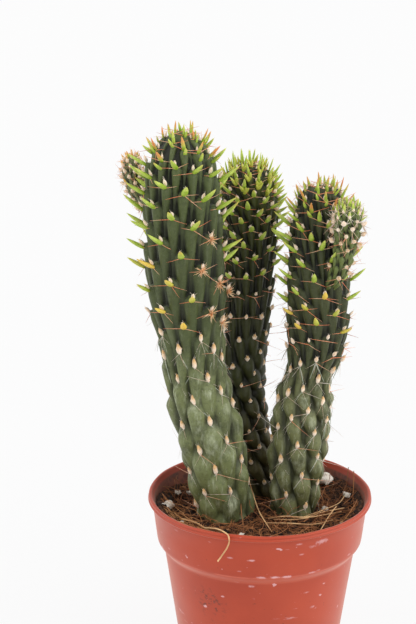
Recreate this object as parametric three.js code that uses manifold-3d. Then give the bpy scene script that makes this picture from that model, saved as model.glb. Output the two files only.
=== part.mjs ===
// A potted cactus: three tall stems of one clump in a small round plastic nursery pot.
//
// Millimetres, +Z up. The origin is the centre of the pot's underside, on the surface it stands on, and
// the front of the plant faces -Y. Five pieces: the pot, the soil that fills it, and three rooted stems.
// A side shoot that grew from a stem is one body with it.

import * as THREE from 'three';
import * as BufferGeometryUtils from 'three/addons/utils/BufferGeometryUtils.js';
import Module from 'manifold-3d';

const wasm = await Module();
wasm.setup();

// Pot: the outside radii at the heights where the wall changes direction.
const POT_HEIGHT = 74;
const LIP = { radius: 42.5, foot: 72, mouth: 41.2, throat: { radius: 40.85, z: 72.9 } };
const BAND_TOP = { radius: 40.95, z: 71.6, inside: 40 };
const BAND_FOOT = { radius: 39.1, z: 56.2, inside: 38.1 };
const BODY_TOP = { radius: 36.5, z: 53 };
const BASE_RADIUS = 28.9;
const WALL = 1.2;
const WALL_DROP = 0.9;
const FLOOR = 2.6;
const FOOT_RING = { inner: 21.6, recess: 1.2 };
const CENTRE_PAD_RADIUS = 8;
const DRAIN = { count: 5, radius: 2.6, circle: 15, sides: 6 };
const POT_SEGMENTS = 32;

// Soil: a filling of peat and coir, with a few grains of perlite on top.
const SOIL_LEVEL = 65;
const SOIL_BOTTOM = 2.95;
const GAP = 0.35;
const PLUG = { rows: 4, sides: 16 };
const SOIL_RINGS = [1, 0.9, 0.78, 0.6, 0.4, 0.2, 0];
const SOIL_RISE = { at: [27, 22], height: 3.4, spread: 8 };
const SOIL_BANK = { from: 29, wide: 9.5, height: 5.2, side: 0.85, flank: 0.35, back: 0.1 };
const GRAINS = [
  { at: [-35.1, -0.2], size: 2.4 },
  { at: [26.6, 20.4], size: 2.8 },
  { at: [34.0, 9.4], size: 1.5 },
  { at: [25.4, 3.4], size: 1.2 },
  { at: [-7.4, -22.5], size: 1.1 },
  { at: [-20.3, 24.8], size: 1.7 },
  { at: [4.1, 34.2], size: 1.3 },
  { at: [-31.6, 14.9], size: 1.3 },
];
const FIBRE_THICKNESS = 0.7;
const FIBRES = [
  { from: [5.3, -13.1], to: [31.2, -9.4], bow: -3.6 },
  { from: [29.4, -14.2], to: [19.3, -24.8], bow: 1.6 },
  { from: [-32.1, -10.4], to: [-12.6, -22.2], bow: -2.1 },
  { from: [-3.6, -31.2], to: [14.4, -27.9], bow: 2.4 },
  { from: [-30.8, 8.6], to: [-20.7, 24.4], bow: 2.2 },
  { from: [13.2, 29.4], to: [-11.4, 32.2], bow: 1.3 },
];

// Stems. Each station is [x, y, z, radius] of the body over its ridges, from the crown down to the foot.
// `turn` is the sense of the golden-angle spiral and `first` the angle in degrees where it starts. The
// other tables run down the stem, each row a distance from the crown and a value there: `patch` is the
// skin that one areole has to itself, in square millimetres, `wind` how many degrees the spiral is wound
// further round, `gather` how much it is drawn together at the front, and `skew` how far it slopes, as a
// share of the radius. The ridges slacken over the distances in `slack`. Leaves stay on down to the
// distance `leafy`, and below the distance `old` the spines hang down. Below the leaves one areole in
// `tuftEvery` has a woolly tuft.
const FRONT_STEM = {
  name: 'stem_front',
  columns: 26,
  rowStep: 3.3,
  steps: 21,
  turn: -1,
  first: 289.91,
  patch: [[0, 14], [10, 39.3], [20, 61.6], [35, 96.8], [60, 122.8], [90, 96.8], [115, 199.8], [158, 162.9]],
  wind: [[0, -1.8], [40, -4.4], [80, -1.7], [120, 0.2], [158, 8.1]],
  gather: [[0, 0.11], [30, 0.11], [70, 0.17], [110, 0.37], [158, 0.45]],
  skew: [[0, -0.29], [30, -0.25], [60, -0.03], [90, -0.03], [120, -0.59], [158, -0.22]],
  slack: [68, 100],
  leafy: 66,
  old: 76,
  tuftEvery: 1,
  leaf: { young: 4.6, grown: 8.4, width: 2.5 },
  stations: [
    [-29.9, -8.0, 215.2, 0.5],
    [-29.9, -7.9, 213.3, 5.0],
    [-29.8, -7.8, 209.9, 8.6],
    [-29.6, -7.5, 205.3, 11.6],
    [-29.3, -7.1, 198.4, 13.3],
    [-28.9, -6.3, 183.0, 14.2],
    [-27.6, -4.9, 155.0, 14.4],
    [-25.8, -4.0, 136.1, 12.4],
    [-23.8, -3.2, 120.2, 12.4],
    [-18.8, -2.1, 97.0, 13.2],
    [-13.9, -0.9, 71.0, 11.7],
    [-12.6, -0.4, 61.0, 10.2],
    [-12.2, -0.2, 54.0, 7.6],
  ],
};
const FRONT_BUD = {
  columns: 13,
  rowStep: 2.7,
  steps: 13,
  turn: 1,
  first: 20,
  patch: [[0, 5], [15, 15], [40, 15]],
  wind: [[0, 0]],
  gather: [[0, 0]],
  skew: [[0, 0]],
  slack: [900, 901],
  leafy: 13,
  old: 900,
  tuftEvery: 2,
  leaf: { young: 2.4, grown: 3.2, width: 1.4 },
  stations: [
    [-47.7, 9.0, 203.0, 0.4],
    [-47.7, 8.9, 201.2, 2.8],
    [-47.4, 8.0, 195.7, 3.8],
    [-46.0, 6.3, 191.0, 3.3],
    [-43.6, 4.0, 187.0, 2.8],
    [-39.6, 0.6, 182.5, 2.6],
    [-35.5, -3.0, 179.5, 2.4],
  ],
};
const BACK_STEM = {
  name: 'stem_back',
  columns: 26,
  rowStep: 3.6,
  steps: 21,
  turn: 1,
  first: 214.1,
  patch: [[0, 10], [10, 23], [20, 23], [35, 36], [60, 53], [90, 60], [115, 60], [150, 90]],
  wind: [[0, 1.5], [50, -1], [100, 1.2], [149, -1.7]],
  gather: [[0, 0]],
  skew: [[0, 0.23], [30, -0.22], [60, 0.76], [90, -0.1], [120, 0.03], [149, 0]],
  slack: [60, 90],
  leafy: 48,
  old: 60,
  tuftEvery: 2,
  leaf: { young: 6.4, grown: 5.6, width: 1.8 },
  stations: [
    [-4.4, 24.0, 196.9, 0.5],
    [-4.7, 24.0, 195.4, 5.6],
    [-4.6, 23.8, 190.6, 9.4],
    [-4.2, 23.5, 181.0, 10.8],
    [-5.0, 22.9, 158.0, 11.0],
    [-6.9, 22.1, 130.0, 10.9],
    [-7.2, 21.5, 108.0, 10.6],
    [-4.4, 21.0, 88.0, 10.0],
    [0.3, 20.5, 70.2, 9.1],
    [2.2, 20.2, 61.0, 8.2],
    [3.0, 20.0, 55.0, 6.2],
  ],
};
const RIGHT_STEM = {
  name: 'stem_right',
  columns: 26,
  rowStep: 3.5,
  steps: 21,
  turn: 1,
  first: 24.7,
  patch: [[0, 9], [10, 25], [20, 29], [35, 71], [60, 47], [90, 69], [115, 120], [150, 78]],
  wind: [[0, 7.9], [50, 2.9], [100, -1.4], [145, -10]],
  gather: [[0, 0]],
  skew: [[0, -0.22], [30, -0.48], [60, 0.22], [90, 0.22], [120, -0.05], [145, 0]],
  slack: [66, 84],
  leafy: 52,
  old: 68,
  tuftEvery: 2,
  leaf: { young: 4.8, grown: 8, width: 2.1 },
  stations: [
    [21.4, 4.5, 192.8, 0.5],
    [21.5, 4.5, 190.6, 6.9],
    [21.5, 4.4, 184.2, 9.2],
    [20.9, 4.2, 175.2, 10.7],
    [21.2, 4.0, 158.0, 11.5],
    [21.2, 3.7, 141.5, 11.7],
    [20.3, 3.5, 129.8, 10.6],
    [18.2, 3.3, 120.3, 9.1],
    [16.8, 3.2, 113.0, 11.2],
    [15.6, 3.0, 101.0, 11.9],
    [13.8, 2.7, 81.7, 11.1],
    [13.4, 2.5, 67.0, 9.2],
    [13.3, 2.4, 60.0, 8.2],
    [13.3, 2.4, 55.0, 6.2],
  ],
};
const RIGHT_ARM = {
  columns: 13,
  rowStep: 2.9,
  steps: 13,
  turn: -1,
  first: 240,
  patch: [[0, 5], [15, 13], [45, 18]],
  wind: [[0, 0]],
  gather: [[0, 0]],
  skew: [[0, 0]],
  slack: [900, 901],
  leafy: 16,
  old: 900,
  tuftEvery: 2,
  leaf: { young: 2.6, grown: 3.4, width: 1.4 },
  stations: [
    [30.7, -13.0, 190.2, 0.4],
    [30.5, -13.0, 188.6, 3.3],
    [30.3, -12.6, 183.6, 5.1],
    [29.9, -11.0, 176.2, 4.7],
    [28.8, -8.4, 167.6, 3.8],
    [27.0, -5.6, 161.4, 3.5],
    [24.0, -1.4, 155.5, 3.1],
  ],
};

const GOLDEN_ANGLE = Math.PI * (3 - Math.sqrt(5));
const RIB_ANGLE = (13 * GOLDEN_ANGLE - 10 * Math.PI) / 13;
const COUNT_STEP = 0.25;

// A ridge runs down from its areole to another one, a number of steps further on in the spiral. Its
// half width is a multiple of the room between two such lines. Its crest rises over the head, from a share
// of its height, between two distances in half widths, and then sinks by a share with a power of the way
// down. Its section is an arch to the power of `arch`. An old ridge has slackened into a row of swellings.
const YOUNG_RIDGE = { halfWidth: 0.76, from: 0.86, rise: [-0.4, 0.9], sink: 0.92, power: 0.8, arch: 0.48 };
const SLACK_RIDGE = { halfWidth: 0.6, from: 0.3, rise: [-0.3, 1.2], sink: 0.8, power: 1.6, arch: 0.55 };
const SLACK_STEPS = 8;
const RIDGE_REACH = 6;
const RIDGE_HEAD = { above: 0.5, length: 1.2 };
const RIDGE_TAPER = { from: 0.08, to: 0.78, young: 0.6, old: 0.35 };
const RIDGE_DEPTH = { share: 0.8, mean: 0.78, slackShare: 0.4 };
const CROWN_FLOOR = { share: 0.55, from: 2, to: 8 };
const RELIEF_FROM = 66.6;
const RELIEF_FULL = 70;
const FOOT_EASE = 12;

// What stands out of the areoles. Every leaf has a keel on its underside.
const ROOT_DEPTH = 3.2;
const LEAF_THICKNESS = 1.0;
const LEAF_RISE = { crown: 84, side: 32, from: 2, to: 19 };
const LEAF_GROWN = { from: 2, to: 24, fade: 20 };
const CROWN_REACH = 14;
const TUFT = { radius: 1.15, height: 1.7 };
const SPINE = { radius: 0.34, length: 6.5, every: 4 };
const LOWEST_AREOLE = 72;
const CLEARANCE = 2.4;

const COLOURS = {
  pot: { color: 0xc35a41, roughness: 0.42 },
  soil: { color: 0x3d2a1e, roughness: 0.95 },
  stem_front: { color: 0x55663f, roughness: 0.55 },
  stem_back: { color: 0x3f4a2c, roughness: 0.6 },
  stem_right: { color: 0x586a48, roughness: 0.55 },
};

const clamp = (value) => Math.min(Math.max(value, 0), 1);

const smoothstep = (from, to, value) => {
  const t = clamp((value - from) / (to - from));
  return t * t * (3 - 2 * t);
};

const mix = (first, second, share) => first + (second - first) * share;

// The value of a table at a distance.
function lookUp(table, distance) {
  const after = table.findIndex(([at]) => at > distance);
  if (after === 0) return table[0][1];
  if (after < 0) return table.at(-1)[1];
  const [[low, first], [high, second]] = [table[after - 1], table[after]];
  return mix(first, second, (distance - low) / (high - low));
}

// A repeatable stream of random numbers from 0 to 1.
function randomStream(seed) {
  let state = seed;
  return () => {
    state = (state * 16807) % 2147483647;
    return state / 2147483647;
  };
}

// Turns a closed geometry into a solid that can be joined and cut.
function toSolid(geometry) {
  const bare = geometry.index ? geometry.clone() : BufferGeometryUtils.mergeVertices(geometry, 0);
  bare.deleteAttribute('normal');
  bare.deleteAttribute('uv');
  const merged = BufferGeometryUtils.mergeVertices(bare, 1e-4);
  const corners = merged.index.array;
  const kept = [];
  for (let i = 0; i < corners.length; i += 3) {
    const [a, b, c] = corners.slice(i, i + 3);
    if (a !== b && b !== c && c !== a) kept.push(a, b, c);
  }
  const mesh = new wasm.Mesh({
    numProp: 3,
    vertProperties: new Float32Array(merged.attributes.position.array),
    triVerts: new Uint32Array(kept),
  });
  return new wasm.Manifold(mesh);
}

// Turns a solid back into a named mesh with its own material.
function toMesh(solid, name) {
  const { vertProperties, triVerts } = solid.getMesh();
  const geometry = new THREE.BufferGeometry();
  geometry.setAttribute('position', new THREE.BufferAttribute(vertProperties, 3));
  geometry.setIndex(new THREE.BufferAttribute(triVerts, 1));
  geometry.computeVertexNormals();
  const material = new THREE.MeshStandardMaterial({ ...COLOURS[name], metalness: 0 });
  const mesh = new THREE.Mesh(geometry, material);
  mesh.name = name;
  return mesh;
}

// A smooth curve through stations of [x, y, z, radius]. Distance along it is measured over the skin,
// because it counts the change of radius as well, and starts from zero at the crown.
class StemCurve {
  constructor(stations) {
    this.stations = stations;
    this.at = [0];
    for (let i = 1; i < stations.length; i += 1) {
      const step = Math.hypot(...stations[i].map((value, axis) => value - stations[i - 1][axis]));
      this.at.push(this.at[i - 1] + step);
    }
    this.length = this.at.at(-1);
  }

  slope(i, axis) {
    const before = Math.max(i - 1, 0);
    const after = Math.min(i + 1, this.stations.length - 1);
    return (this.stations[after][axis] - this.stations[before][axis]) / (this.at[after] - this.at[before]);
  }

  // [x, y, z, radius] at a distance from the crown.
  point(distance) {
    const d = Math.min(Math.max(distance, 0), this.length);
    let i = 0;
    while (i < this.at.length - 2 && this.at[i + 1] < d) i += 1;
    const span = this.at[i + 1] - this.at[i];
    const t = (d - this.at[i]) / span;
    return [0, 1, 2, 3].map((axis) => {
      const start = this.stations[i][axis];
      const end = this.stations[i + 1][axis];
      const leave = this.slope(i, axis) * span;
      const arrive = this.slope(i + 1, axis) * span;
      return start + leave * t + (3 * (end - start) - 2 * leave - arrive) * t * t
        + (2 * (start - end) + leave + arrive) * t * t * t;
    });
  }

  radius(distance) {
    return this.point(distance)[3];
  }

  // The distance from the crown at which the axis comes down to a height.
  distanceAt(z) {
    let distance = 0;
    while (distance < this.length && this.point(distance)[2] > z) distance += 0.25;
    return distance;
  }

  // The axis direction, up the stem, taken over a few millimetres so that the crown's rings stay level.
  up(distance) {
    const reach = 5;
    const low = new THREE.Vector3(...this.point(distance + reach + 4));
    const high = new THREE.Vector3(...this.point(distance - reach));
    return high.sub(low).normalize();
  }

  // The frame of the ring at a distance: its centre, radius, and directions across, back and up.
  ring(distance) {
    const [x, y, z, radius] = this.point(distance);
    const up = this.up(distance);
    const back = new THREE.Vector3().crossVectors(up, new THREE.Vector3(1, 0, 0)).normalize();
    const across = new THREE.Vector3().crossVectors(back, up);
    const step = 0.4;
    const wider = (this.point(distance + step)[3] - this.point(distance - step)[3]) / (2 * step);
    return { centre: new THREE.Vector3(x, y, z), radius, up, back, across, wider: Math.min(wider, 1) };
  }
}

// A closed grid of rings round an upright line, from the foot to the crown, ready to be bent into a stem.
function ringGrid(rows, columns) {
  const profile = [new THREE.Vector2(0, 0)];
  for (let row = 0; row <= rows; row += 1) profile.push(new THREE.Vector2(1, row));
  profile.push(new THREE.Vector2(0, rows));
  const geometry = new THREE.LatheGeometry(profile, columns);
  return { profile, geometry, position: geometry.attributes.position };
}

// The areoles of a stem on their golden-angle spiral, and the ridges that run down from them.
class Stem {
  constructor(plan) {
    this.plan = plan;
    this.first = THREE.MathUtils.degToRad(plan.first);
    this.curve = new StemCurve(plan.stations);
    this.counts = this.countAreoles();
    this.areoles = this.placeAreoles();
  }

  // How many areoles lie above each quarter of a millimetre of skin.
  countAreoles() {
    const { patch } = this.plan;
    const counts = [0];
    for (let d = COUNT_STEP; d < this.curve.length; d += COUNT_STEP) {
      const round = Math.PI * (this.curve.radius(d) + this.curve.radius(d - COUNT_STEP));
      const taken = (lookUp(patch, d) + lookUp(patch, d - COUNT_STEP)) / 2;
      counts.push(counts.at(-1) + (round * COUNT_STEP) / taken);
    }
    return counts;
  }

  countAt(distance) {
    const place = Math.min(Math.max(distance / COUNT_STEP, 0), this.counts.length - 1.001);
    const i = Math.floor(place);
    return mix(this.counts[i], this.counts[i + 1], place - i);
  }

  // The distance at which the spiral has come to a number of areoles, also past the foot.
  distanceOf(count) {
    const { counts, curve, plan } = this;
    const i = counts.findIndex((value) => value > count);
    if (i > 0) return COUNT_STEP * (i - (counts[i] - count) / (counts[i] - counts[i - 1]));
    const spread = plan.patch.at(-1)[1] / (2 * Math.PI * curve.radius(curve.length));
    return curve.length + (count - counts.at(-1)) * spread;
  }

  // Where a point of the even spiral comes to lie once it is wound, gathered and skewed.
  laid(distance, evenAngle) {
    const { wind, gather, skew } = this.plan;
    const wound = evenAngle + THREE.MathUtils.degToRad(lookUp(wind, distance));
    const angle = wound - lookUp(gather, distance) * Math.cos(wound);
    const shift = lookUp(skew, distance) * this.curve.radius(distance) * Math.cos(angle);
    return { angle, distance: distance + shift };
  }

  // The areoles, each with the way that its ridge runs: how far round, and how far down.
  placeAreoles() {
    const { turn, steps, patch, slack } = this.plan;
    const count = Math.floor(this.counts.at(-1));
    const placed = [];
    for (let i = 0; i < count + steps; i += 1) {
      const middle = this.distanceOf(i + 0.5);
      const place = this.laid(middle, this.first + turn * GOLDEN_ANGLE * (i + 0.5));
      placed.push({ ...place, patch: lookUp(patch, middle) });
    }
    const reach = (i, further) => {
      const turns = turn * 2 * Math.PI * Math.round((further * GOLDEN_ANGLE) / (2 * Math.PI));
      const [here, there] = [placed[i], placed[i + further]];
      return [there.angle - here.angle - turns, there.distance - here.distance];
    };
    return placed.slice(0, count).map((areole, i) => {
      const slackness = smoothstep(slack[0], slack[1], areole.distance);
      const [young, old] = [reach(i, steps), reach(i, Math.min(SLACK_STEPS, steps))];
      const [around, fall] = [0, 1].map((part) => mix(young[part], old[part], slackness));
      return { ...areole, slackness, around, fall };
    });
  }

  // How far one ridge stands out, as a share of the full depth, `across` to the side of its areole
  // and `below` it on a stem of that radius.
  ridge(areole, radius, across, below) {
    const { around, fall, slackness, patch } = areole;
    const run = around * radius;
    const whole = Math.hypot(run, fall);
    const along = (across * run + below * fall) / whole;
    const side = (across * fall - below * run) / whole;
    const full = (mix(YOUNG_RIDGE.halfWidth, SLACK_RIDGE.halfWidth, slackness) * patch) / whole;
    const start = RIDGE_HEAD.above * full;
    if (along <= -start || along > whole) return 0;
    const share = clamp(along / whole);
    const head = clamp((along + start) / (RIDGE_HEAD.length * full));
    const narrowed = clamp((share - RIDGE_TAPER.from) / (RIDGE_TAPER.to - RIDGE_TAPER.from));
    const taper = 1 - mix(RIDGE_TAPER.young, RIDGE_TAPER.old, slackness) * narrowed;
    const half = full * taper * Math.sqrt(1 - (1 - head) ** 2);
    if (Math.abs(side) >= half) return 0;
    const [young, old] = [YOUNG_RIDGE, SLACK_RIDGE].map(({ from, rise, sink, power }) => (
      mix(from, 1, smoothstep(rise[0], rise[1], along / full)) * (1 - sink * share ** power)
    ));
    const arch = mix(YOUNG_RIDGE.arch, SLACK_RIDGE.arch, slackness);
    return mix(young, old, slackness) * (1 - (side / half) ** 2) ** arch;
  }

  relief(distance, angle) {
    const radius = this.curve.radius(distance);
    let height = CROWN_FLOOR.share * (1 - smoothstep(CROWN_FLOOR.from, CROWN_FLOOR.to, distance));
    for (const areole of this.areoles) {
      const below = distance - areole.distance;
      if (below > -RIDGE_REACH && below < areole.fall + RIDGE_REACH) {
        const turn = angle - areole.angle;
        const across = radius * (turn - 2 * Math.PI * Math.round(turn / (2 * Math.PI)));
        height = Math.max(height, this.ridge(areole, radius, across, below));
      }
    }
    return height;
  }

  // The point on the skin at a distance and angle, and the direction that the skin faces there.
  skin(distance, angle) {
    const { centre, radius, up, back, across, wider } = this.curve.ring(distance);
    const outward = across.clone().multiplyScalar(Math.cos(angle)).addScaledVector(back, Math.sin(angle));
    const facing = outward.clone().multiplyScalar(Math.sqrt(1 - wider * wider)).addScaledVector(up, wider);
    const { slack, steps } = this.plan;
    const deeper = 1 + RIDGE_DEPTH.slackShare * smoothstep(slack[0], slack[1], distance);
    const depth = (RIDGE_DEPTH.share * 2 * Math.PI * radius * deeper) / steps;
    const lift = depth * (this.relief(distance, angle) - RIDGE_DEPTH.mean);
    const position = centre.clone().addScaledVector(outward, radius);
    position.addScaledVector(facing, lift * smoothstep(RELIEF_FROM, RELIEF_FULL, centre.z));
    return { position, facing, outward, up };
  }

  // The stem's body. Its columns follow the thirteen ribs that the areoles line up in, so that every
  // other column runs along a rib and the rest along the grooves between them.
  body() {
    const { columns, rowStep, turn } = this.plan;
    const { length } = this.curve;
    const rows = Math.round(length / rowStep);
    const { profile, geometry, position } = ringGrid(rows, columns);
    const firstRib = this.first + turn * GOLDEN_ANGLE * 0.5;
    const crownHeight = this.curve.point(0)[2];
    for (let i = 0; i < position.count; i += 1) {
      const level = i % profile.length;
      const row = rows - Math.min(Math.max(level - 1, 0), rows);
      const middle = (row / rows) * length;
      const column = Math.floor(i / profile.length) % columns;
      const rib = firstRib + turn * RIB_ANGLE * (this.countAt(middle) - 0.5);
      const place = this.laid(middle, rib + (2 * Math.PI * column) / columns);
      const distance = mix(middle, place.distance, smoothstep(0, FOOT_EASE, length - middle));
      const point = this.skin(Math.max(distance, 0), place.angle).position;
      const { centre } = this.curve.ring(middle);
      if (profile[level].x === 0) point.copy(centre);
      const lift = level === profile.length - 1 ? 0.3 : 0;
      position.setXYZ(i, point.x, point.y, Math.min(point.z, crownHeight) + lift);
    }
    return toSolid(geometry);
  }

  // A plain tapered plug round the foot, wider by the gap that the soil keeps, from under the foot up to
  // the height `top`.
  footPlug(top) {
    const start = this.curve.distanceAt(top);
    const { profile, geometry, position } = ringGrid(PLUG.rows, PLUG.sides);
    for (let i = 0; i < position.count; i += 1) {
      const level = i % profile.length;
      const row = PLUG.rows - Math.min(Math.max(level - 1, 0), PLUG.rows);
      const distance = start + (row / PLUG.rows) * (this.curve.length - start);
      const { centre, radius, across, back } = this.curve.ring(distance);
      const angle = (2 * Math.PI * Math.floor(i / profile.length)) / PLUG.sides;
      const reach = profile[level].x * (radius / Math.cos(Math.PI / PLUG.sides) + GAP);
      centre.addScaledVector(across, reach * Math.cos(angle)).addScaledVector(back, reach * Math.sin(angle));
      position.setXYZ(i, centre.x, centre.y, centre.z - (row === PLUG.rows ? GAP : 0));
    }
    return toSolid(geometry);
  }
}

// A pointed piece from `base` to `tip`, three-sided, flat above and keeled below, wide along `side`.
function spike(base, tip, side, halfWidth, halfThickness) {
  const geometry = new THREE.ConeGeometry(1, 1, 3);
  geometry.translate(0, 0.5, 0);
  const along = tip.clone().sub(base);
  const length = along.length();
  along.normalize();
  const thick = new THREE.Vector3().crossVectors(side, along).normalize();
  const wide = new THREE.Vector3().crossVectors(along, thick);
  const matrix = new THREE.Matrix4().makeBasis(
    wide.multiplyScalar(halfWidth),
    along.multiplyScalar(length),
    thick.multiplyScalar(halfThickness),
  );
  matrix.setPosition(base);
  geometry.applyMatrix4(matrix);
  return toSolid(geometry);
}

// How far a point lies from the skin of a set of stems.
function distanceToStems(point, stems) {
  let nearest = Infinity;
  for (const stem of stems) {
    for (let d = 0; d < stem.curve.length; d += 3) {
      const [x, y, z, radius] = stem.curve.point(d);
      const reach = Math.hypot(point.x - x, point.y - y, point.z - z) - radius;
      nearest = Math.min(nearest, reach);
    }
  }
  return nearest;
}

// Leaves, woolly tufts and spines, each set well into the ridge that it stands on. What would reach
// one of the other stems is left out.
function areoleGrowth(stem, others, seed) {
  const random = randomStream(seed);
  const { leaf, leafy, old, tuftEvery } = stem.plan;
  const pieces = [];
  stem.areoles.forEach(({ distance, angle }, index) => {
    const { position, facing, outward, up } = stem.skin(distance, angle);
    const root = position.clone().addScaledVector(facing, -ROOT_DEPTH);
    const side = new THREE.Vector3().crossVectors(up, outward).normalize();
    const [longer, higher, aside] = [random() - 0.5, random() - 0.5, random() - 0.5];
    if (position.z < LOWEST_AREOLE) return;
    const grow = (direction, length, halfWidth, halfThickness) => {
      const tip = position.clone().addScaledVector(direction.normalize(), length);
      if (distanceToStems(tip, others) < CLEARANCE || tip.z < LOWEST_AREOLE) return;
      pieces.push(spike(root, tip, side, halfWidth, halfThickness));
    };
    const crowded = distance < CROWN_REACH && index % 2 === 1;
    if (distance < leafy && !crowded) {
      const grown = smoothstep(LEAF_GROWN.from, LEAF_GROWN.to, distance);
      const opened = smoothstep(LEAF_RISE.from, LEAF_RISE.to, distance);
      const rise = THREE.MathUtils.degToRad(mix(LEAF_RISE.crown, LEAF_RISE.side, opened) + 14 * higher);
      const direction = outward.clone().multiplyScalar(Math.cos(rise)).addScaledVector(up, Math.sin(rise));
      direction.addScaledVector(side, 0.4 * aside);
      const faded = 0.3 * leaf.grown * smoothstep(leafy - LEAF_GROWN.fade, leafy, distance);
      const length = (mix(leaf.young, leaf.grown, grown) - faded) * (1 + 0.3 * longer);
      grow(direction, length, (leaf.width / 2) * mix(0.6, 1, grown), LEAF_THICKNESS / 2);
    }
    if (distance >= leafy && index % tuftEvery === 0) {
      grow(facing.clone().addScaledVector(up, 0.3), TUFT.height, TUFT.radius, TUFT.radius);
    }
    if (index % SPINE.every === 0 && distance > CROWN_REACH) {
      const lean = distance < old ? 0.15 : -0.7;
      const direction = facing.clone().addScaledVector(up, lean + 0.5 * higher);
      direction.addScaledVector(side, (index % 8 ? 0.9 : -0.9) + aside);
      grow(direction, SPINE.length, SPINE.radius, SPINE.radius);
    }
  });
  return pieces;
}

// A stem with its side shoot and all that stands out of the areoles, as one body.
function growStem(stem, shoot, others, seed) {
  const own = shoot ? [shoot] : [];
  const pieces = areoleGrowth(stem, [...own, ...others], seed);
  let solid = stem.body();
  if (shoot) {
    solid = solid.add(shoot.body());
    pieces.push(...areoleGrowth(shoot, [stem, ...others], seed + 1));
  }
  for (const piece of pieces) solid = solid.add(piece);
  return solid;
}

function pot() {
  const profile = [
    [0, 0],
    [CENTRE_PAD_RADIUS, 0],
    [CENTRE_PAD_RADIUS + 1, FOOT_RING.recess],
    [FOOT_RING.inner - 1, FOOT_RING.recess],
    [FOOT_RING.inner, 0],
    [BASE_RADIUS - 0.6, 0],
    [BASE_RADIUS, 0.8],
    [BODY_TOP.radius, BODY_TOP.z],
    [BAND_FOOT.radius, BAND_FOOT.z],
    [BAND_TOP.radius, BAND_TOP.z],
    [LIP.radius, LIP.foot],
    [LIP.radius, POT_HEIGHT - 0.4],
    [LIP.radius - 0.5, POT_HEIGHT],
    [LIP.mouth, POT_HEIGHT],
    [LIP.throat.radius, LIP.throat.z],
    [BAND_TOP.inside, BAND_TOP.z],
    [BAND_FOOT.inside, BAND_FOOT.z + WALL_DROP],
    [BODY_TOP.radius - WALL, BODY_TOP.z + WALL_DROP],
    [BASE_RADIUS - WALL + 0.3, FLOOR],
    [0, FLOOR],
  ];
  const points = profile.map(([radius, z]) => new THREE.Vector2(radius, z));
  const geometry = new THREE.LatheGeometry(points, POT_SEGMENTS);
  geometry.rotateX(Math.PI / 2);
  let solid = toSolid(geometry);
  for (let i = 0; i < DRAIN.count; i += 1) {
    const hole = new THREE.CylinderGeometry(DRAIN.radius, DRAIN.radius, 4 * FLOOR, DRAIN.sides);
    hole.rotateX(Math.PI / 2);
    const angle = (2 * Math.PI * i) / DRAIN.count;
    hole.translate(DRAIN.circle * Math.cos(angle), DRAIN.circle * Math.sin(angle), 0);
    solid = solid.subtract(toSolid(hole));
  }
  return solid;
}

// The radius of the soil at a height, just clear of the pot's inner wall.
function soilRadius(z) {
  const low = BODY_TOP.z + WALL_DROP;
  const high = BAND_FOOT.z + WALL_DROP;
  if (z < low) {
    const foot = BASE_RADIUS + 0.3;
    return mix(foot, BODY_TOP.radius, (z - FLOOR) / (low - FLOOR)) - WALL - GAP;
  }
  if (z < high) {
    return mix(BODY_TOP.radius, BAND_FOOT.radius, (z - low) / (high - low)) - WALL - GAP;
  }
  return mix(BAND_FOOT.inside, BAND_TOP.inside, (z - high) / (BAND_TOP.z - high)) - GAP;
}

// The crumbly top of the soil: a low mound with lumps of a few sizes, banked up against the wall of the
// pot all round but at the back.
function soilHeight(x, y) {
  const mound = 1.1 * (1 - (x * x + y * y) / 1600);
  const away = Math.hypot(x - SOIL_RISE.at[0], y - SOIL_RISE.at[1]) / SOIL_RISE.spread;
  const rise = SOIL_RISE.height * Math.exp(-away * away / 2);
  const lumps = 0.55 * Math.sin(0.43 * x + 1.3) * Math.cos(0.37 * y - 0.4)
    + 0.35 * Math.sin(0.91 * x - 0.63 * y + 2.1) + 0.2 * Math.cos(1.7 * x + 1.1 * y);
  const edge = clamp((Math.hypot(x, y) - SOIL_BANK.from) / SOIL_BANK.wide);
  const heading = Math.atan2(y, x);
  const front = clamp(Math.max(SOIL_BANK.side * (1 - Math.sin(heading)), SOIL_BANK.back));
  const bank = SOIL_BANK.height * (front + SOIL_BANK.flank * Math.cos(heading) ** 2) * edge ** 2;
  return SOIL_LEVEL - 0.6 + mound + rise + lumps * 0.8 + bank;
}

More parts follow.
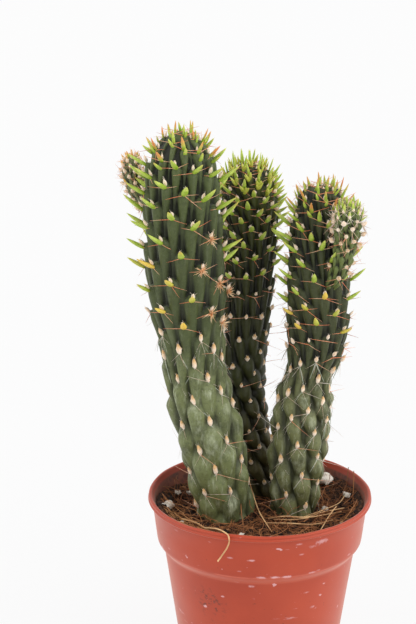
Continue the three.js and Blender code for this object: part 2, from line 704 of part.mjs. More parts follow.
function soil(stems) {
  const low = BODY_TOP.z + WALL_DROP;
  const high = BAND_FOOT.z + WALL_DROP;
  const profile = [
    [0, SOIL_BOTTOM],
    [soilRadius(SOIL_BOTTOM) - 0.3, SOIL_BOTTOM],
    [soilRadius(low) - 0.1, low - 0.2],
    [soilRadius(high) - 0.2, high],
  ];
  const topRadius = soilRadius(SOIL_LEVEL);
  for (const ring of SOIL_RINGS) profile.push([topRadius * ring, SOIL_LEVEL]);
  const points = profile.map(([radius, z]) => new THREE.Vector2(radius, z));
  const geometry = new THREE.LatheGeometry(points, POT_SEGMENTS);
  geometry.rotateX(Math.PI / 2);
  const position = geometry.attributes.position;
  for (let i = 0; i < position.count; i += 1) {
    if (position.getZ(i) > high + 0.1) {
      const [x, y] = [position.getX(i), position.getY(i)];
      const toRim = topRadius / Math.max(Math.hypot(x, y), 1e-6);
      const wider = soilRadius(soilHeight(x * toRim, y * toRim)) / topRadius;
      position.setXYZ(i, x * wider, y * wider, soilHeight(x * wider, y * wider));
    }
  }
  let solid = toSolid(geometry);
  GRAINS.forEach(({ at: [x, y], size }, index) => {
    const grain = new THREE.IcosahedronGeometry(size, 0);
    grain.scale(1, 0.82, 0.75);
    grain.rotateZ(index);
    grain.translate(x, y, soilHeight(x, y) + 0.4 * size - 0.9);
    solid = solid.add(toSolid(grain));
  });
  for (const { from, to, bow } of FIBRES) {
    const path = new THREE.CatmullRomCurve3([0, 0.33, 0.67, 1].map((share) => {
      const x = from[0] + (to[0] - from[0]) * share;
      const y = from[1] + (to[1] - from[1]) * share + bow * Math.sin(Math.PI * share);
      return new THREE.Vector3(x, y, soilHeight(x, y) + (share === 0 || share === 1 ? -2.2 : 0.8));
    }));
    const r = FIBRE_THICKNESS / 2;
    const section = new THREE.Shape([
      new THREE.Vector2(-r, -r), new THREE.Vector2(r, -r), new THREE.Vector2(0, r),
    ]);
    const strand = new THREE.ExtrudeGeometry(section, { steps: 4, extrudePath: path });
    solid = solid.add(toSolid(strand));
  }
  for (const stem of stems) solid = solid.subtract(stem.footPlug(SOIL_LEVEL + 8));
  return solid;
}

const front = new Stem(FRONT_STEM);
const frontBud = new Stem(FRONT_BUD);
const back = new Stem(BACK_STEM);
const right = new Stem(RIGHT_STEM);
const rightArm = new Stem(RIGHT_ARM);

const plant = new THREE.Group();
plant.add(toMesh(pot(), 'pot'));
plant.add(toMesh(soil([front, back, right]), 'soil'));
plant.add(toMesh(growStem(front, frontBud, [back, right, rightArm], 11), FRONT_STEM.name));
plant.add(toMesh(growStem(back, null, [front, frontBud, right, rightArm], 23), BACK_STEM.name));
plant.add(toMesh(growStem(right, rightArm, [front, back], 37), RIGHT_STEM.name));

export default plant;
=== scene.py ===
import random
from collections import namedtuple
from math import atan2, cos, hypot, pi, radians, sin, sqrt, tau

import bmesh
import bpy
import numpy as np
from mathutils import Matrix, Vector, noise


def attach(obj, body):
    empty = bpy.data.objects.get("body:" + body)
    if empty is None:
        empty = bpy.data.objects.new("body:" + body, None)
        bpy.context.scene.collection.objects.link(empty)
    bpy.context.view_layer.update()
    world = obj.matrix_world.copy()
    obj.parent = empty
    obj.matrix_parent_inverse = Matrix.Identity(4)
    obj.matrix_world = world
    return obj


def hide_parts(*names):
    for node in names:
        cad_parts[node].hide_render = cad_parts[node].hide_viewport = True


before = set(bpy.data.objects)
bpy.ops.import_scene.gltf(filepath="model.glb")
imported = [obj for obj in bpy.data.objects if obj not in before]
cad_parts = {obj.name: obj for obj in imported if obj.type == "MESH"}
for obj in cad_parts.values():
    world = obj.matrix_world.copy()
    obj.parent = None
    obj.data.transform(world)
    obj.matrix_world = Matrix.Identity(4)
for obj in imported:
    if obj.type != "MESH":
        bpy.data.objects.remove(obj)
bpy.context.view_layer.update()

# ------------------------
# Nursery pot: one thin shell of terracotta-coloured plastic, moulded in one shot, with a rolled lip, a
# deep band under it, a ledge, a tapering body, a foot ring and five drain holes. Hard water has left
# white marks on it. All sizes are in millimetres, and MM turns them into metres.
MM = 0.001
POT_OUTLINE = [
    (0, 0), (7.5, 0), (8.1, 0.25), (8.8, 0.95), (9.4, 1.2), (20.2, 1.2), (20.8, 0.95), (21.4, 0.25), (22, 0),
    (27.8, 0), (28.55, 0.2), (28.95, 0.9), (31.62, 19), (33.95, 35), (35.7, 47), (36.4, 51.6), (36.55, 52.6),
    (36.8, 53.3), (37.5, 54.2), (38.2, 55), (38.75, 55.7), (39.08, 56.3), (39.3, 57.4), (40.1, 64),
    (40.95, 71.3), (41.15, 71.75), (41.8, 71.85), (42.35, 71.95), (42.55, 72.25), (42.5, 72.6),
    (42.15, 72.85), (42.1, 73.05), (42.3, 73.3), (42.3, 73.7), (42.05, 74), (41.6, 74.1),
    (41.15, 73.95), (40.95, 73.5), (40.85, 72.7), (40, 71.6), (38.1, 57.1), (35.3, 53.9), (31.1, 25),
    (28.1, 3.2), (27.7, 2.7), (27.1, 2.6), (0, 2.6),
]
DRAIN_HOLES = 5
DRAIN_RADIUS = 2.6
DRAIN_CIRCLE = 15
WAVY_FROM, POT_TOP = 66, 74


def paint(red, green, blue):
    """A colour on a screen's scale of 0 to 255, as the linear colour that a material takes."""
    scaled = [v / 255 for v in (red, green, blue)]
    return tuple(v / 12.92 if v <= 0.04045 else ((v + 0.055) / 1.055) ** 2.4 for v in scaled) + (1,)


class Tone:
    """A value running through a finish. Sums and products of it add the nodes that work them out."""

    def __init__(self, finish, socket):
        self.finish = finish
        self.socket = socket

    def worked(self, operation, first, second):
        return self.finish.node("Math", {"operation": operation}, {0: first, 1: second})

    def __add__(self, other):
        return self.worked("ADD", self, other)

    def __mul__(self, other):
        return self.worked("MULTIPLY", self, other)

    __radd__, __rmul__ = __add__, __mul__

    def __sub__(self, other):
        return self.worked("SUBTRACT", self, other)

    def __rsub__(self, other):
        return self.worked("SUBTRACT", other, self)

    def __pow__(self, other):
        return self.worked("POWER", self, other)

    def __abs__(self):
        return self.worked("ABSOLUTE", self, 0)

    def between(self, low, high):
        """0 below low, 1 above high, and a soft step between."""
        inputs = {"Value": self, "From Min": low, "From Max": high}
        return self.finish.node("MapRange", {"interpolation_type": "SMOOTHSTEP"}, inputs)


class Finish:
    """One material: its surface and the nodes that vary it."""

    def __init__(self, name, shine, **fixed):
        self.material = bpy.data.materials.new(name)
        self.material.use_nodes = True
        self.tree = self.material.node_tree
        self.surface = self.tree.nodes["Principled BSDF"]
        self.surface.inputs["Specular IOR Level"].default_value = shine
        for socket, value in fixed.items():
            self.surface.inputs[socket.replace("_", " ")].default_value = value
        self.place = self.node("TexCoord", out="Object")

    def node(self, kind, settings=None, inputs=None, out=0):
        made = self.tree.nodes.new("ShaderNode" + kind)
        for key, value in (settings or {}).items():
            setattr(made, key, value)
        for key, value in (inputs or {}).items():
            if isinstance(value, Tone):
                self.tree.links.new(value.socket, made.inputs[key])
            else:
                made.inputs[key].default_value = value
        return Tone(self, made.outputs[out])

    def grain(self, per_metre, detail=3, rough=0.55, stretch=None):
        """Cloudy noise from 0 to 1. A stretch below 1 draws it out along that axis."""
        place = self.place
        if stretch:
            place = self.node("Mapping", {}, {"Vector": place, "Scale": stretch})
        inputs = {"Vector": place, "Scale": per_metre, "Detail": detail, "Roughness": rough}
        return self.node("TexNoise", {}, inputs)

    def attribute(self, name):
        return self.node("Attribute", {"attribute_name": name}, out="Fac")

    def blend(self, first, second, share):
        """The first colour, with a share of it taken over by the second."""
        first, second = (c if isinstance(c, Tone) else paint(*c) for c in (first, second))
        return self.node("Mix", {"data_type": "RGBA"}, {0: share, 6: first, 7: second}, out=2)

    def colour(self, tone):
        self.tree.links.new(tone.socket, self.surface.inputs["Base Color"])

    def roughness(self, tone):
        self.tree.links.new(tone.socket, self.surface.inputs["Roughness"])

    def relief(self, height, depth_mm, strength):
        inputs = {"Height": height, "Distance": depth_mm * MM, "Strength": strength}
        bumped = self.node("Bump", {}, inputs)
        self.tree.links.new(bumped.socket, self.surface.inputs["Normal"])


def placed(name, data):
    """Puts a mesh, curve, light or camera in the scene."""
    holder = bpy.data.objects.new(name, data)
    bpy.context.scene.collection.objects.link(holder)
    return holder


def shown(name, mesh, finish):
    """Puts a mesh with its finish in the scene, as a piece of the plant or its pot."""
    mesh.materials.clear()
    mesh.materials.append(finish.material)
    for polygon in mesh.polygons:
        polygon.use_smooth = True
    piece = placed(name, mesh)
    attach(piece, "root")
    return piece


def worked_out(holder):
    """The mesh that a curve or a cut shape comes to. Its holder is removed."""
    bpy.context.view_layer.update()
    graph = bpy.context.evaluated_depsgraph_get()
    mesh = bpy.data.meshes.new_from_object(holder.evaluated_get(graph))
    bpy.data.objects.remove(holder)
    return mesh


def meshed(bm, name):
    mesh = bpy.data.meshes.new(name)
    bm.to_mesh(mesh)
    bm.free()
    return mesh


def closed(bm, apart):
    """Joins points that lie no further apart than this, and turns all faces outwards."""
    bmesh.ops.remove_doubles(bm, verts=bm.verts, dist=apart)
    bmesh.ops.recalc_face_normals(bm, faces=bm.faces)
    return bm


def turned(outline, steps, unit):
    """An outline of (radius, height), spun round the upright axis into a closed shell."""
    bm = bmesh.new()
    corners = [bm.verts.new((r * unit, 0, z * unit)) for r, z in outline]
    edges = [bm.edges.new(pair) for pair in zip(corners, corners[1:])]
    turn = {"cent": (0, 0, 0), "axis": (0, 0, 1), "angle": tau, "steps": steps, "use_merge": True}
    bmesh.ops.spin(bm, geom=corners + edges, **turn)
    return closed(bm, unit / 1000)


# The lip isn't quite level or quite round: it wavers more and more towards its edge.
bm = turned(POT_OUTLINE, 160, MM)
for v in bm.verts:
    angle = atan2(v.co.y, v.co.x)
    high = max(0, v.co.z / MM - WAVY_FROM) / (POT_TOP - WAVY_FROM)
    waver = 0.16 * sin(3 * angle + 0.6) + 0.1 * sin(7 * angle + 2)
    waver = waver + 0.05 * sin(17 * angle)
    v.co.z += high**3 * waver * MM
    v.co.xy *= 1 + high**3 * 0.0022 * sin(2 * angle + 0.9)
drill = bmesh.new()
for i in range(DRAIN_HOLES):
    angle = tau * i / DRAIN_HOLES
    at = Vector((DRAIN_CIRCLE * cos(angle), DRAIN_CIRCLE * sin(angle), 1.5)) * MM
    size = {"radius1": DRAIN_RADIUS * MM, "radius2": DRAIN_RADIUS * MM, "depth": 8 * MM}
    bmesh.ops.create_cone(drill, cap_ends=True, segments=32, matrix=Matrix.Translation(at), **size)
drills = placed("drills", meshed(drill, "drills"))
shell = placed("shell", meshed(bm, "shell"))
cut = shell.modifiers.new("drain_holes", "BOOLEAN")
cut.operation = "DIFFERENCE"
cut.solver = "EXACT"
cut.object = drills
drilled = worked_out(shell)
bpy.data.objects.remove(drills)

plastic = Finish("pot_plastic", shine=0.4, Sheen_Weight=0.5, Sheen_Roughness=0.36)
plastic.surface.inputs["Sheen Tint"].default_value = (1, 0.7, 0.6, 1)
clay = plastic.blend((176, 64, 34), (166, 58, 31), plastic.grain(38, 4).between(0.35, 0.7))
faded = plastic.grain(14, 2, stretch=(1, 1, 0.5)).between(0.5, 0.8)
clay = plastic.blend(clay, (190, 80, 50), faded * 0.5)
height = plastic.node("SeparateXYZ", {}, {0: plastic.place}, out="Z")
# The ledge faces down and gets less light, so it is painted lighter here: painted light that cancels its
# shade.
ledge_painted_light = height.between(0.0524, 0.0532) * (1 - height.between(0.0555, 0.0565))
clay = plastic.blend(clay, (208, 92, 58), ledge_painted_light * 0.3)
# The inside is told from the outside by how far out it lies, once the wall's taper is taken off.
level = plastic.node("VectorMath", {"operation": "MULTIPLY"}, {0: plastic.place, 1: (1, 1, 0)})
out = plastic.node("VectorMath", {"operation": "LENGTH"}, {0: level}, out="Value")
taper = height * 0.107
inner = 1 - (out - taper).between(0.0324, 0.0328)
inner = inner * height.between(0.0566, 0.0575) * (1 - height.between(0.0718, 0.0728))
drops = plastic.grain(260, 2, 0.4, stretch=(1, 1, 1.7))
smears = plastic.grain(95, 5, 0.62, stretch=(0.6, 0.6, 1.9))
lime = drops.between(0.68, 0.74) * plastic.grain(60, 1).between(0.4, 0.6)
lime = lime + smears.between(0.63, 0.74) * 0.7


def blotch(x, y, z, reach, flat=3.2):
    """1 within a ragged patch round a point of the wall, in millimetres, and 0 outside it."""
    middle = (x * MM, y * MM, z * MM)
    apart = plastic.node("VectorMath", {"operation": "SUBTRACT"}, {0: plastic.place, 1: middle})
    apart = plastic.node("VectorMath", {"operation": "MULTIPLY"}, {0: apart, 1: (1, 1, flat)})
    apart = plastic.node("VectorMath", {"operation": "LENGTH"}, {0: apart}, out="Value")
    ragged = apart + plastic.grain(520, 5, 0.75) * (reach * 1.5 * MM)
    return 1 - ragged.between(reach * 0.9 * MM, reach * 1.55 * MM)


# Where each mark is on the wall (x, y, z), how far it reaches, and how white it is.
LIME_MARKS = [
    (21.7, -34.4, 69, 5, 0.75), (18.4, -35.9, 67.8, 4, 0.5), (13.2, -38.5, 69.7, 2.4, 0.7),
    (14.2, -37.7, 65.3, 2.2, 0.6), (-4.2, -39.8, 63.9, 2.6, 0.9), (-11.9, -38.3, 64.3, 2.2, 0.7),
    (-8.6, -38.6, 59, 1.8, 0.5), (-0.2, -39.3, 56.7, 3.4, 0.9), (4.6, -39, 56.7, 3.2, 1.1),
    (8.8, -38.2, 56.5, 3.4, 1.1), (18.4, -34.7, 56.6, 2.6, 0.8), (20.9, -33.3, 57, 1.8, 0.6),
    (-4.1, -37.2, 51.9, 3.4, 0.8), (16.5, -31.3, 47.2, 2.2, 0.6), (32.9, -21.8, 57.9, 2.4, 0.8),
    (-34.4, -19.7, 59.3, 2.2, 0.5), (-31.5, -25.8, 69.5, 2.4, 0.4), (8.8, -39.6, 68.1, 1.7, 0.4),
]
for x, y, z, reach, strength in LIME_MARKS:
    lime = lime + blotch(x, y, z, reach) * strength
clay = plastic.blend(clay, (222, 176, 178), lime.between(0.05, 1.2) * 0.85)
specks = plastic.grain(620, 4, 0.6, stretch=(1, 1, 1.3))
dirty_side = blotch(-19, -29, 42, 11, 1)
dirt = specks.between(0.52, 0.6) * dirty_side + specks.between(0.68, 0.73) * 0.8
clay = plastic.blend(clay, (96, 44, 30), dirt * 0.8)
crease = 1 - abs(height - 0.0563).between(0, 0.00045)
crease = crease * plastic.grain(90, 3).between(0.35, 0.6)
clay = plastic.blend(clay, (214, 108, 84), crease * 0.6)
# The inside wall is painted dark brown: partly soil dirt, mottled, and partly painted shade, as little light
# falls inside the pot.
dusty = plastic.grain(330, 5, 0.65).between(0.4, 0.7)
dusty = plastic.blend((128, 68, 44), (78, 44, 29), dusty)
clay = plastic.blend(clay, dusty, inner * 0.92)
plastic.colour(clay)
plastic.roughness(0.36 + plastic.grain(120, 3) * 0.16 + lime.between(0.2, 1) * 0.3)
plastic.relief(plastic.grain(700, 3) * 0.35 + lime.between(0.1, 1), 0.06, 0.5)

pot = shown("pot_shell", drilled, plastic)
drilled.set_sharp_from_angle(angle=radians(50))
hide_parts("pot")

# ------------------------
# Soil: damp peat with coir, filled to just under the pot's lip. Its surface is lumpy, with crumbs, bark
# flakes, white perlite grains and many loose coir fibres, one of which hangs over the front of the lip.
SOIL_LEVEL = 65
SOIL_BOTTOM = 2.95
RISE = (27, 22)
RISE_HEIGHT = 3.4
BANK = 5.2
WALL_GAP = 0.35
WALL_AND_GAP = 1.55
POT_FLOOR, BODY_TOP, BAND_FOOT = 2.6, 53.9, 57.1


def bed_height(x, y):
    """Height of the soil over a point: a low dome with lumps, banked up against the wall."""
    away = np.hypot(x - RISE[0], y - RISE[1]) / 8
    lumps = 0.55 * np.sin(0.43 * x + 1.3) * np.cos(0.37 * y - 0.4)
    lumps = lumps + 0.35 * np.sin(0.91 * x - 0.63 * y + 2.1)
    lumps = lumps + 0.2 * np.cos(1.7 * x + 1.1 * y)
    dome = 1.1 * (1 - (x * x + y * y) / 1600)
    edge = np.clip((np.hypot(x, y) - 29) / 9.5, 0, 1)
    heading = np.arctan2(y, x)
    front = np.clip(0.85 - 0.85 * np.sin(heading), 0.1, 1) + 0.35 * np.cos(heading) ** 2
    rise = RISE_HEIGHT * np.exp(-away * away / 2)
    return SOIL_LEVEL - 0.6 + dome + rise + 0.8 * lumps + BANK * front * edge**2


def bed_radius(z):
    """Radius of the soil at a height, a small gap inside the pot's wall."""
    if z < BODY_TOP:
        return 29.2 + 7.3 * (z - POT_FLOOR) / 51.3 - WALL_AND_GAP
    if z < BAND_FOOT:
        return 36.5 + 2.6 * (z - BODY_TOP) / 3.2 - WALL_AND_GAP
    return 38.1 + 1.9 * (z - BAND_FOOT) / 14.5 - WALL_GAP


# A grid is wrapped round: its first rows make the top, from the middle out, then come wall and bottom.
bm = bmesh.new()
bmesh.ops.create_grid(bm, x_segments=220, y_segments=118, size=0.5)
top_rows, wall_rows = 0.84, 0.95
for v in bm.verts:
    angle = tau * (v.co.x + 0.5)
    share = v.co.y + 0.5
    brim = bed_radius(float(bed_height(39 * cos(angle), 39 * sin(angle))))
    if share <= top_rows:
        out = brim * share / top_rows
        x, y = out * cos(angle), out * sin(angle)
        z = float(bed_height(x, y))
        fine = noise.noise(Vector((x, y, 0)) * 0.9) * 0.6
        fine = fine + noise.noise(Vector((x, y, 7)) * 2.2) * 0.35
        z += fine * min(1, (brim - out) * 0.7)
    elif share <= wall_rows:
        sunk = (share - top_rows) / (wall_rows - top_rows)
        rim = float(bed_height(brim * cos(angle), brim * sin(angle)))
        z = rim + (SOIL_BOTTOM - rim) * sunk
        out = bed_radius(z)
    else:
        z = SOIL_BOTTOM
        out = bed_radius(z) * (1 - share) / (1 - wall_rows)
    v.co = Vector((out * cos(angle), out * sin(angle), z)) * MM
closed(bm, 1e-6)

peat = Finish("damp_peat", shine=0.3)
dark, warm = (38, 25, 18), (122, 80, 52)
mixed = peat.blend(dark, warm, peat.grain(520, 5, 0.65).between(0.42, 0.75))
shreds = peat.grain(1500, 3, 0.6, stretch=(1, 0.35, 1)).between(0.6, 0.8)
mixed = peat.blend(mixed, (150, 102, 66), shreds * 0.6)
peat.colour(mixed)
peat.roughness(0.72 + peat.grain(700, 3) * 0.25)
peat.relief(peat.grain(900, 5, 0.7), 0.9, 0.9)
bed = shown("soil_bed", meshed(bm, "soil_bed"), peat)
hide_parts("soil")


def lump(seed, squash, rough):
    """A small irregular crumb, about 1 across."""
    bm = bmesh.new()
    bmesh.ops.create_icosphere(bm, subdivisions=1, radius=0.5)
    bmesh.ops.subdivide_edges(bm, edges=bm.edges[:], cuts=1, use_grid_fill=True)
    for v in bm.verts:
        v.co *= 1 + rough * noise.noise(v.co * 2.7 + Vector((seed * 3.1, seed, 0)))
        v.co.z *= squash
    return meshed(bm, "lump")


def stamp(bm, shape, place, **tints):
    """Adds a copy of a small shape to a mesh, at a place, with its own tints."""
    copy = shape.copy()
    copy.transform(place)
    for name, value in tints.items():
        layer = copy.attributes.get(name) or copy.attributes.new(name, "FLOAT", "POINT")
        layer.data.foreach_set("value", [value] * len(copy.vertices))
    bm.from_mesh(copy)
    bpy.data.meshes.remove(copy)


def posed(at, size, spin):
    """The place of a shape: where it is in millimetres, its size along three axes, and its turn."""
    return Matrix.Translation(Vector(at) * MM) @ spin @ Matrix.Diagonal((*[s * MM for s in size], 1))


STEM_FEET = [(-12.6, -0.4, 9.5), (2.2, 20.2, 7.6), (13.4, 2.5, 7.8)]


def in_a_stem(x, y):
    return any(hypot(x - fx, y - fy) < reach for fx, fy, reach in STEM_FEET)


CRUMBS_TRIED = 1500
FLAKE_SHARE = 0.22
draw = random.Random(41)
pick = draw.uniform
crumbs = [lump(seed, 0.75, 0.9) for seed in range(4)]
flakes = [lump(seed + 10, 0.22, 0.8) for seed in range(3)]
crumb_mesh = bmesh.new()
for i in range(CRUMBS_TRIED):
    out, angle = 38.2 * sqrt(draw.random()), tau * draw.random()
    x, y = out * cos(angle), out * sin(angle)
    if in_a_stem(x, y):
        continue
    flat = draw.random() < FLAKE_SHARE
    size = pick(1.4, 3.6) if flat else 0.6 + 1.7 * draw.random() ** 2.5
    size = min(size, 2 * (38.9 - out) + 0.6)
    spin = Matrix.Rotation(tau * draw.random(), 4, "Z")
    spin = spin @ Matrix.Rotation(pick(-0.6, 0.6), 4, "X")
    long = (size, size * pick(0.35, 0.8), size) if flat else (size, size * 0.9, size * 0.9)
    at = (x, y, float(bed_height(x, y)) + size * 0.12)
    shape = draw.choice(flakes if flat else crumbs)
    stamp(crumb_mesh, shape, posed(at, long, spin), tint=draw.random())
crumbly = Finish("peat_crumbs", shine=0.3)
tint = crumbly.attribute("tint")
mixed = crumbly.blend((36, 23, 17), (136, 88, 57), tint**2)
mixed = crumbly.blend(mixed, (186, 136, 92), tint.between(0.9, 0.97) * 0.7)
damp = crumbly.grain(1400, 3).between(0.5, 0.7)
mixed = crumbly.blend(mixed, (30, 19, 14), damp * 0.6)
crumbly.colour(mixed)
crumbly.roughness(0.7 + tint * 0.2)
crumbly.relief(crumbly.grain(2600, 3), 0.3, 0.8)
crumb_piece = shown("peat_crumbs", meshed(crumb_mesh, "peat_crumbs"), crumbly)

# Where each grain lies (x, y) and half its width.
PERLITE = [
    (-35.1, -0.2, 2.4), (26.6, 20.4, 3), (34, 9.4, 1.5), (25.4, 3.4, 1.3), (-7.4, -22.5, 1.1),
    (-20.3, 24.8, 1.7), (4.1, 34.2, 1.3), (-31.6, 14.9, 1.3), (-36.6, -3.4, 1), (-29.8, -8.6, 0.9),
    (-26.6, 17.5, 1.4), (30.5, -12, 0.6), (-12.5, -27.5, 0.5), (8, -29, 0.5),
]
perlite_mesh = bmesh.new()
for number, (x, y, half) in enumerate(PERLITE):
    at = (x, y, float(bed_height(x, y)) + half * 0.5)
    spin = Matrix.Rotation(pick(0, 6), 4, "Z") @ Matrix.Rotation(pick(0, 0.5), 4, "X")
    wide = (2.3 * half, 1.9 * half, 1.9 * half)
    stamp(perlite_mesh, lump(number + 30, 0.85, 0.55), posed(at, wide, spin))
finer = {"cuts": 2, "use_grid_fill": True, "smooth": 0.6}
bmesh.ops.subdivide_edges(perlite_mesh, edges=perlite_mesh.edges[:], **finer)
for v in perlite_mesh.verts:
    v.co += v.normal * 0.16 * MM * noise.noise(v.co * 1900)
perlite = Finish("perlite", shine=0.3)
stained = perlite.grain(900, 4).between(0.45, 0.75)
white = perlite.blend((232, 224, 212), (186, 170, 152), stained)
pits = perlite.grain(1500, 3, 0.6).between(0.66, 0.76)
white = perlite.blend(white, (96, 70, 52), pits * 0.7)
perlite.colour(white)
perlite.roughness(0.8 + perlite.grain(600) * 0.15)
perlite.relief(perlite.grain(2400, 4), 0.25, 0.8)
grains = shown("perlite_grains", meshed(perlite_mesh, "perlite_grains"), perlite)


def threads(name, lines, finish):
    """Threads in one mesh. Each line is a list of points, each with its half thickness."""
    curve = bpy.data.curves.new(name, "CURVE")
    curve.dimensions = "3D"
    curve.bevel_depth = MM
    curve.bevel_resolution = 0
    curve.use_fill_caps = True
    for line in lines:
        spline = curve.splines.new("POLY")
        spline.points.add(len(line) - 1)
        for point, (place, half) in zip(spline.points, line):
            point.co = (*[c * MM for c in place], 1)
            point.radius = half
    return shown(name, worked_out(placed(name, curve)), finish)


def smooth_line(points, steps):
    """A line eased through its points."""
    points = [Vector(p) for p in points]
    padded = [2 * points[0] - points[1], *points, 2 * points[-1] - points[-2]]
    line = []
    for a, b, c, d in zip(padded, padded[1:], padded[2:], padded[3:]):
        for k in range(steps):
            t = k / steps
            line.append(b + (c - a) * (t / 2) + (2 * a - 5 * b + 4 * c - d) * (t * t / 2)
                        + (3 * b - a - 3 * c + d) * (t**3 / 2))
    return line + [points[-1]]


# Long fibres: half the thickness of each, and the points it runs through, each with its height over the
# soil. The first few lie on top and are paler.
PALE_FIBRES = 6
FIBRE_LIFT = 0.35
LONG_FIBRES = [
    (0.3, [(3.1, -7.7, 0.9), (9, -9.4, 1.9), (17.4, -9.4, 2.2), (23.2, -6.6, 2), (32.4, -1, 1.4)]),
    (0.22, [(5, -9.5, 0.9), (13, -11.4, 1.7), (22.4, -8.8, 2.1), (31.2, -3.4, 1.2)]),
    (0.26, [(22.1, -18.6, 0.9), (26, -11, 3.2), (29.2, -3, 4.2)]),
    (0.24, [(2.2, -13.4, 1), (10.4, -15.8, 2.2), (20, -14.6, 1.8), (27.5, -9.6, 1.1)]),
    (0.24, [(-4.1, 2.6, 12), (-1, -7, 5.2), (1.5, -14, 1.9), (4.1, -19.5, 0.6)]),
    (0.2, [(16.4, -6.9, 1), (24, -3.2, 1.8), (30.6, 3.4, 1.6), (33.4, 9.4, 0.9)]),
    (0.22, [(-30.5, -1.9, 0.4), (-22.8, -14, 0.9), (-17.9, -20.3, 1.2), (-16.5, -27, 2)]),
    (0.2, [(-37.2, 9.6, 2), (-34.4, 14.6, 1.6), (-26.8, 13.6, 0.8)]),
    (0.2, [(-10.3, -8.6, 2.6), (-11.3, -14.5, 1), (-12.3, -16.7, 0.4)]),
    (0.17, [(-16.7, -13.4, 0.8), (-10, -15, 1.4), (-4.7, -16.9, 0.6)]),
    (0.17, [(-2.7, -9.5, 1.2), (0.4, -12, 1.6), (0.9, -17, 0.9), (-1.1, -20.3, 0.7), (-3.6, -16.6, 1.2)]),
    (0.19, [(18, -13.2, 1), (20, -16, 0.6), (22.1, -18.6, 0.4)]),
    (0.17, [(33.9, 12.6, 0.2), (34.8, 16, 4), (35.2, 17.7, 7)]),
    (0.17, [(36, 4.8, 0.2), (36.6, 9, 3), (36.8, 11.7, 7)]),
    (0.24, [(-32.1, -10.4, 0.3), (-24, -15.6, 0.9), (-18.4, -19.6, 1), (-12.6, -22.2, 0.4)]),
    (0.18, [(-3.6, -31.2, 0.2), (5, -28.4, 0.8), (14.4, -27.9, 0.3)]),
    (0.2, [(29.4, -14.2, 0.5), (25.4, -18, 1), (19.3, -24.8, 0.4)]),
    (0.22, [(-30.8, 8.6, 0.4), (-28.5, 16.5, 1.3), (-20.7, 24.4, 0.4)]),
    (0.19, [(13.2, 29.4, 0.4), (0.5, 31.6, 1.2), (-11.4, 32.2, 0.4)]),
]
HANGING_FIBRE = [
    (-29.5, -9, 66.6), (-24, -14.2, 67.2), (-20.9, -19.4, 67.6), (-19, -26, 70.4),
    (-16.4, -33.4, 73.4), (-14.2, -38.9, 74.9), (-12.6, -41, 74.5), (-12.1, -41.6, 72.4),
    (-12.9, -41.2, 69.6), (-14.6, -40.5, 66.4), (-16.2, -39.7, 63.6),
]
HANGING_HALF = 0.34
lines = []
for half, points in LONG_FIBRES:
    points = [(x, y, float(bed_height(x, y)) + FIBRE_LIFT + over) for x, y, over in points]
    route = smooth_line(points, 6)
    swells = [0.6 + 0.4 * sin(pi * (i + 2) / (len(route) + 4)) for i in range(len(route))]
    lines.append([(point, half * swell) for point, swell in zip(route, swells)])
pale = Finish("pale_coir", Roughness=0.6, shine=0.35)
bleached = pale.grain(160, 3, 0.7).between(0.35, 0.65)
pale.colour(pale.blend((196, 148, 102), (238, 196, 142), bleached))
hanging = [(point, HANGING_HALF) for point in smooth_line(HANGING_FIBRE, 4)]
pale_piece = threads("pale_coir", lines[:PALE_FIBRES] + [hanging], pale)

# The other fibres are drawn at random. Each is walked over the soil, and ends at the wall or a stem.
FIBRES = 700
FIBRE_STEPS = 8
del lines[:PALE_FIBRES]
while len(lines) < FIBRES:
    out, angle = 37.2 * sqrt(draw.random()), tau * draw.random()
    x, y = out * cos(angle), out * sin(angle)
    heading, bend = tau * draw.random(), pick(-0.34, 0.34)
    half, length = pick(0.05, 0.15), draw.choice((5, 8, 12, 17))
    lean = pick(0.1, 1) if draw.random() < 0.25 else pick(-0.03, 0.12)
    line, rise = [], pick(0.05, 0.5)
    for step in range(FIBRE_STEPS + 1):
        if hypot(x, y) >= 38.0 or in_a_stem(x, y):
            break
        line.append(((x, y, float(bed_height(x, y)) + rise), half))
        x = x + cos(heading) * length / FIBRE_STEPS
        y = y + sin(heading) * length / FIBRE_STEPS
        heading += bend + pick(-0.25, 0.25)
        climb = lean * length / FIBRE_STEPS * (1 - step / 6)
        rise = max(0.1, rise + climb + pick(-0.1, 0.1))
    if len(line) > 3:
        lines.append(line)
coir = Finish("coir_fibres", shine=0.35)
straw = coir.blend((124, 74, 42), (200, 136, 84), coir.grain(60, 3, 0.7).between(0.35, 0.72))
straw = coir.blend(straw, (226, 166, 108), coir.grain(23, 2).between(0.56, 0.68) * 0.8)
coir.colour(straw)
coir.roughness(0.55 + coir.grain(900) * 0.2)
coir_piece = threads("coir_fibres", lines, coir)

# ------------------------
# Front stem: the tallest one, with a bud behind its left shoulder. Its skin is drawn up into long smooth
# ridges in crossing spirals, which slacken into swellings low down. At the head of each ridge sits an
# areole: a small fleshy leaf, a tuft of wool and a few spines.
GOLDEN = pi * (3 - sqrt(5))
STRAIGHT = ((0, 0), (1, 0))
NEVER = (900, 901)
RUNG = 0.25
SMOOTH_CROWN = 0.55
RIDGE_HEIGHT, MEAN_SHARE, DEEPER_WHEN_OLD = 0.8, 0.78, 0.4
# Half width, narrowing to the tail, and arch of a ridge: each when young, and its change with age.
RIDGE_FORM = ((0.76, -0.16), (0.6, -0.25), (0.48, 0.07))


def eased(low, high, x):
    share = np.clip((np.asarray(x, float) - low) / (high - low), 0, 1)
    return share * share * (3 - 2 * share)


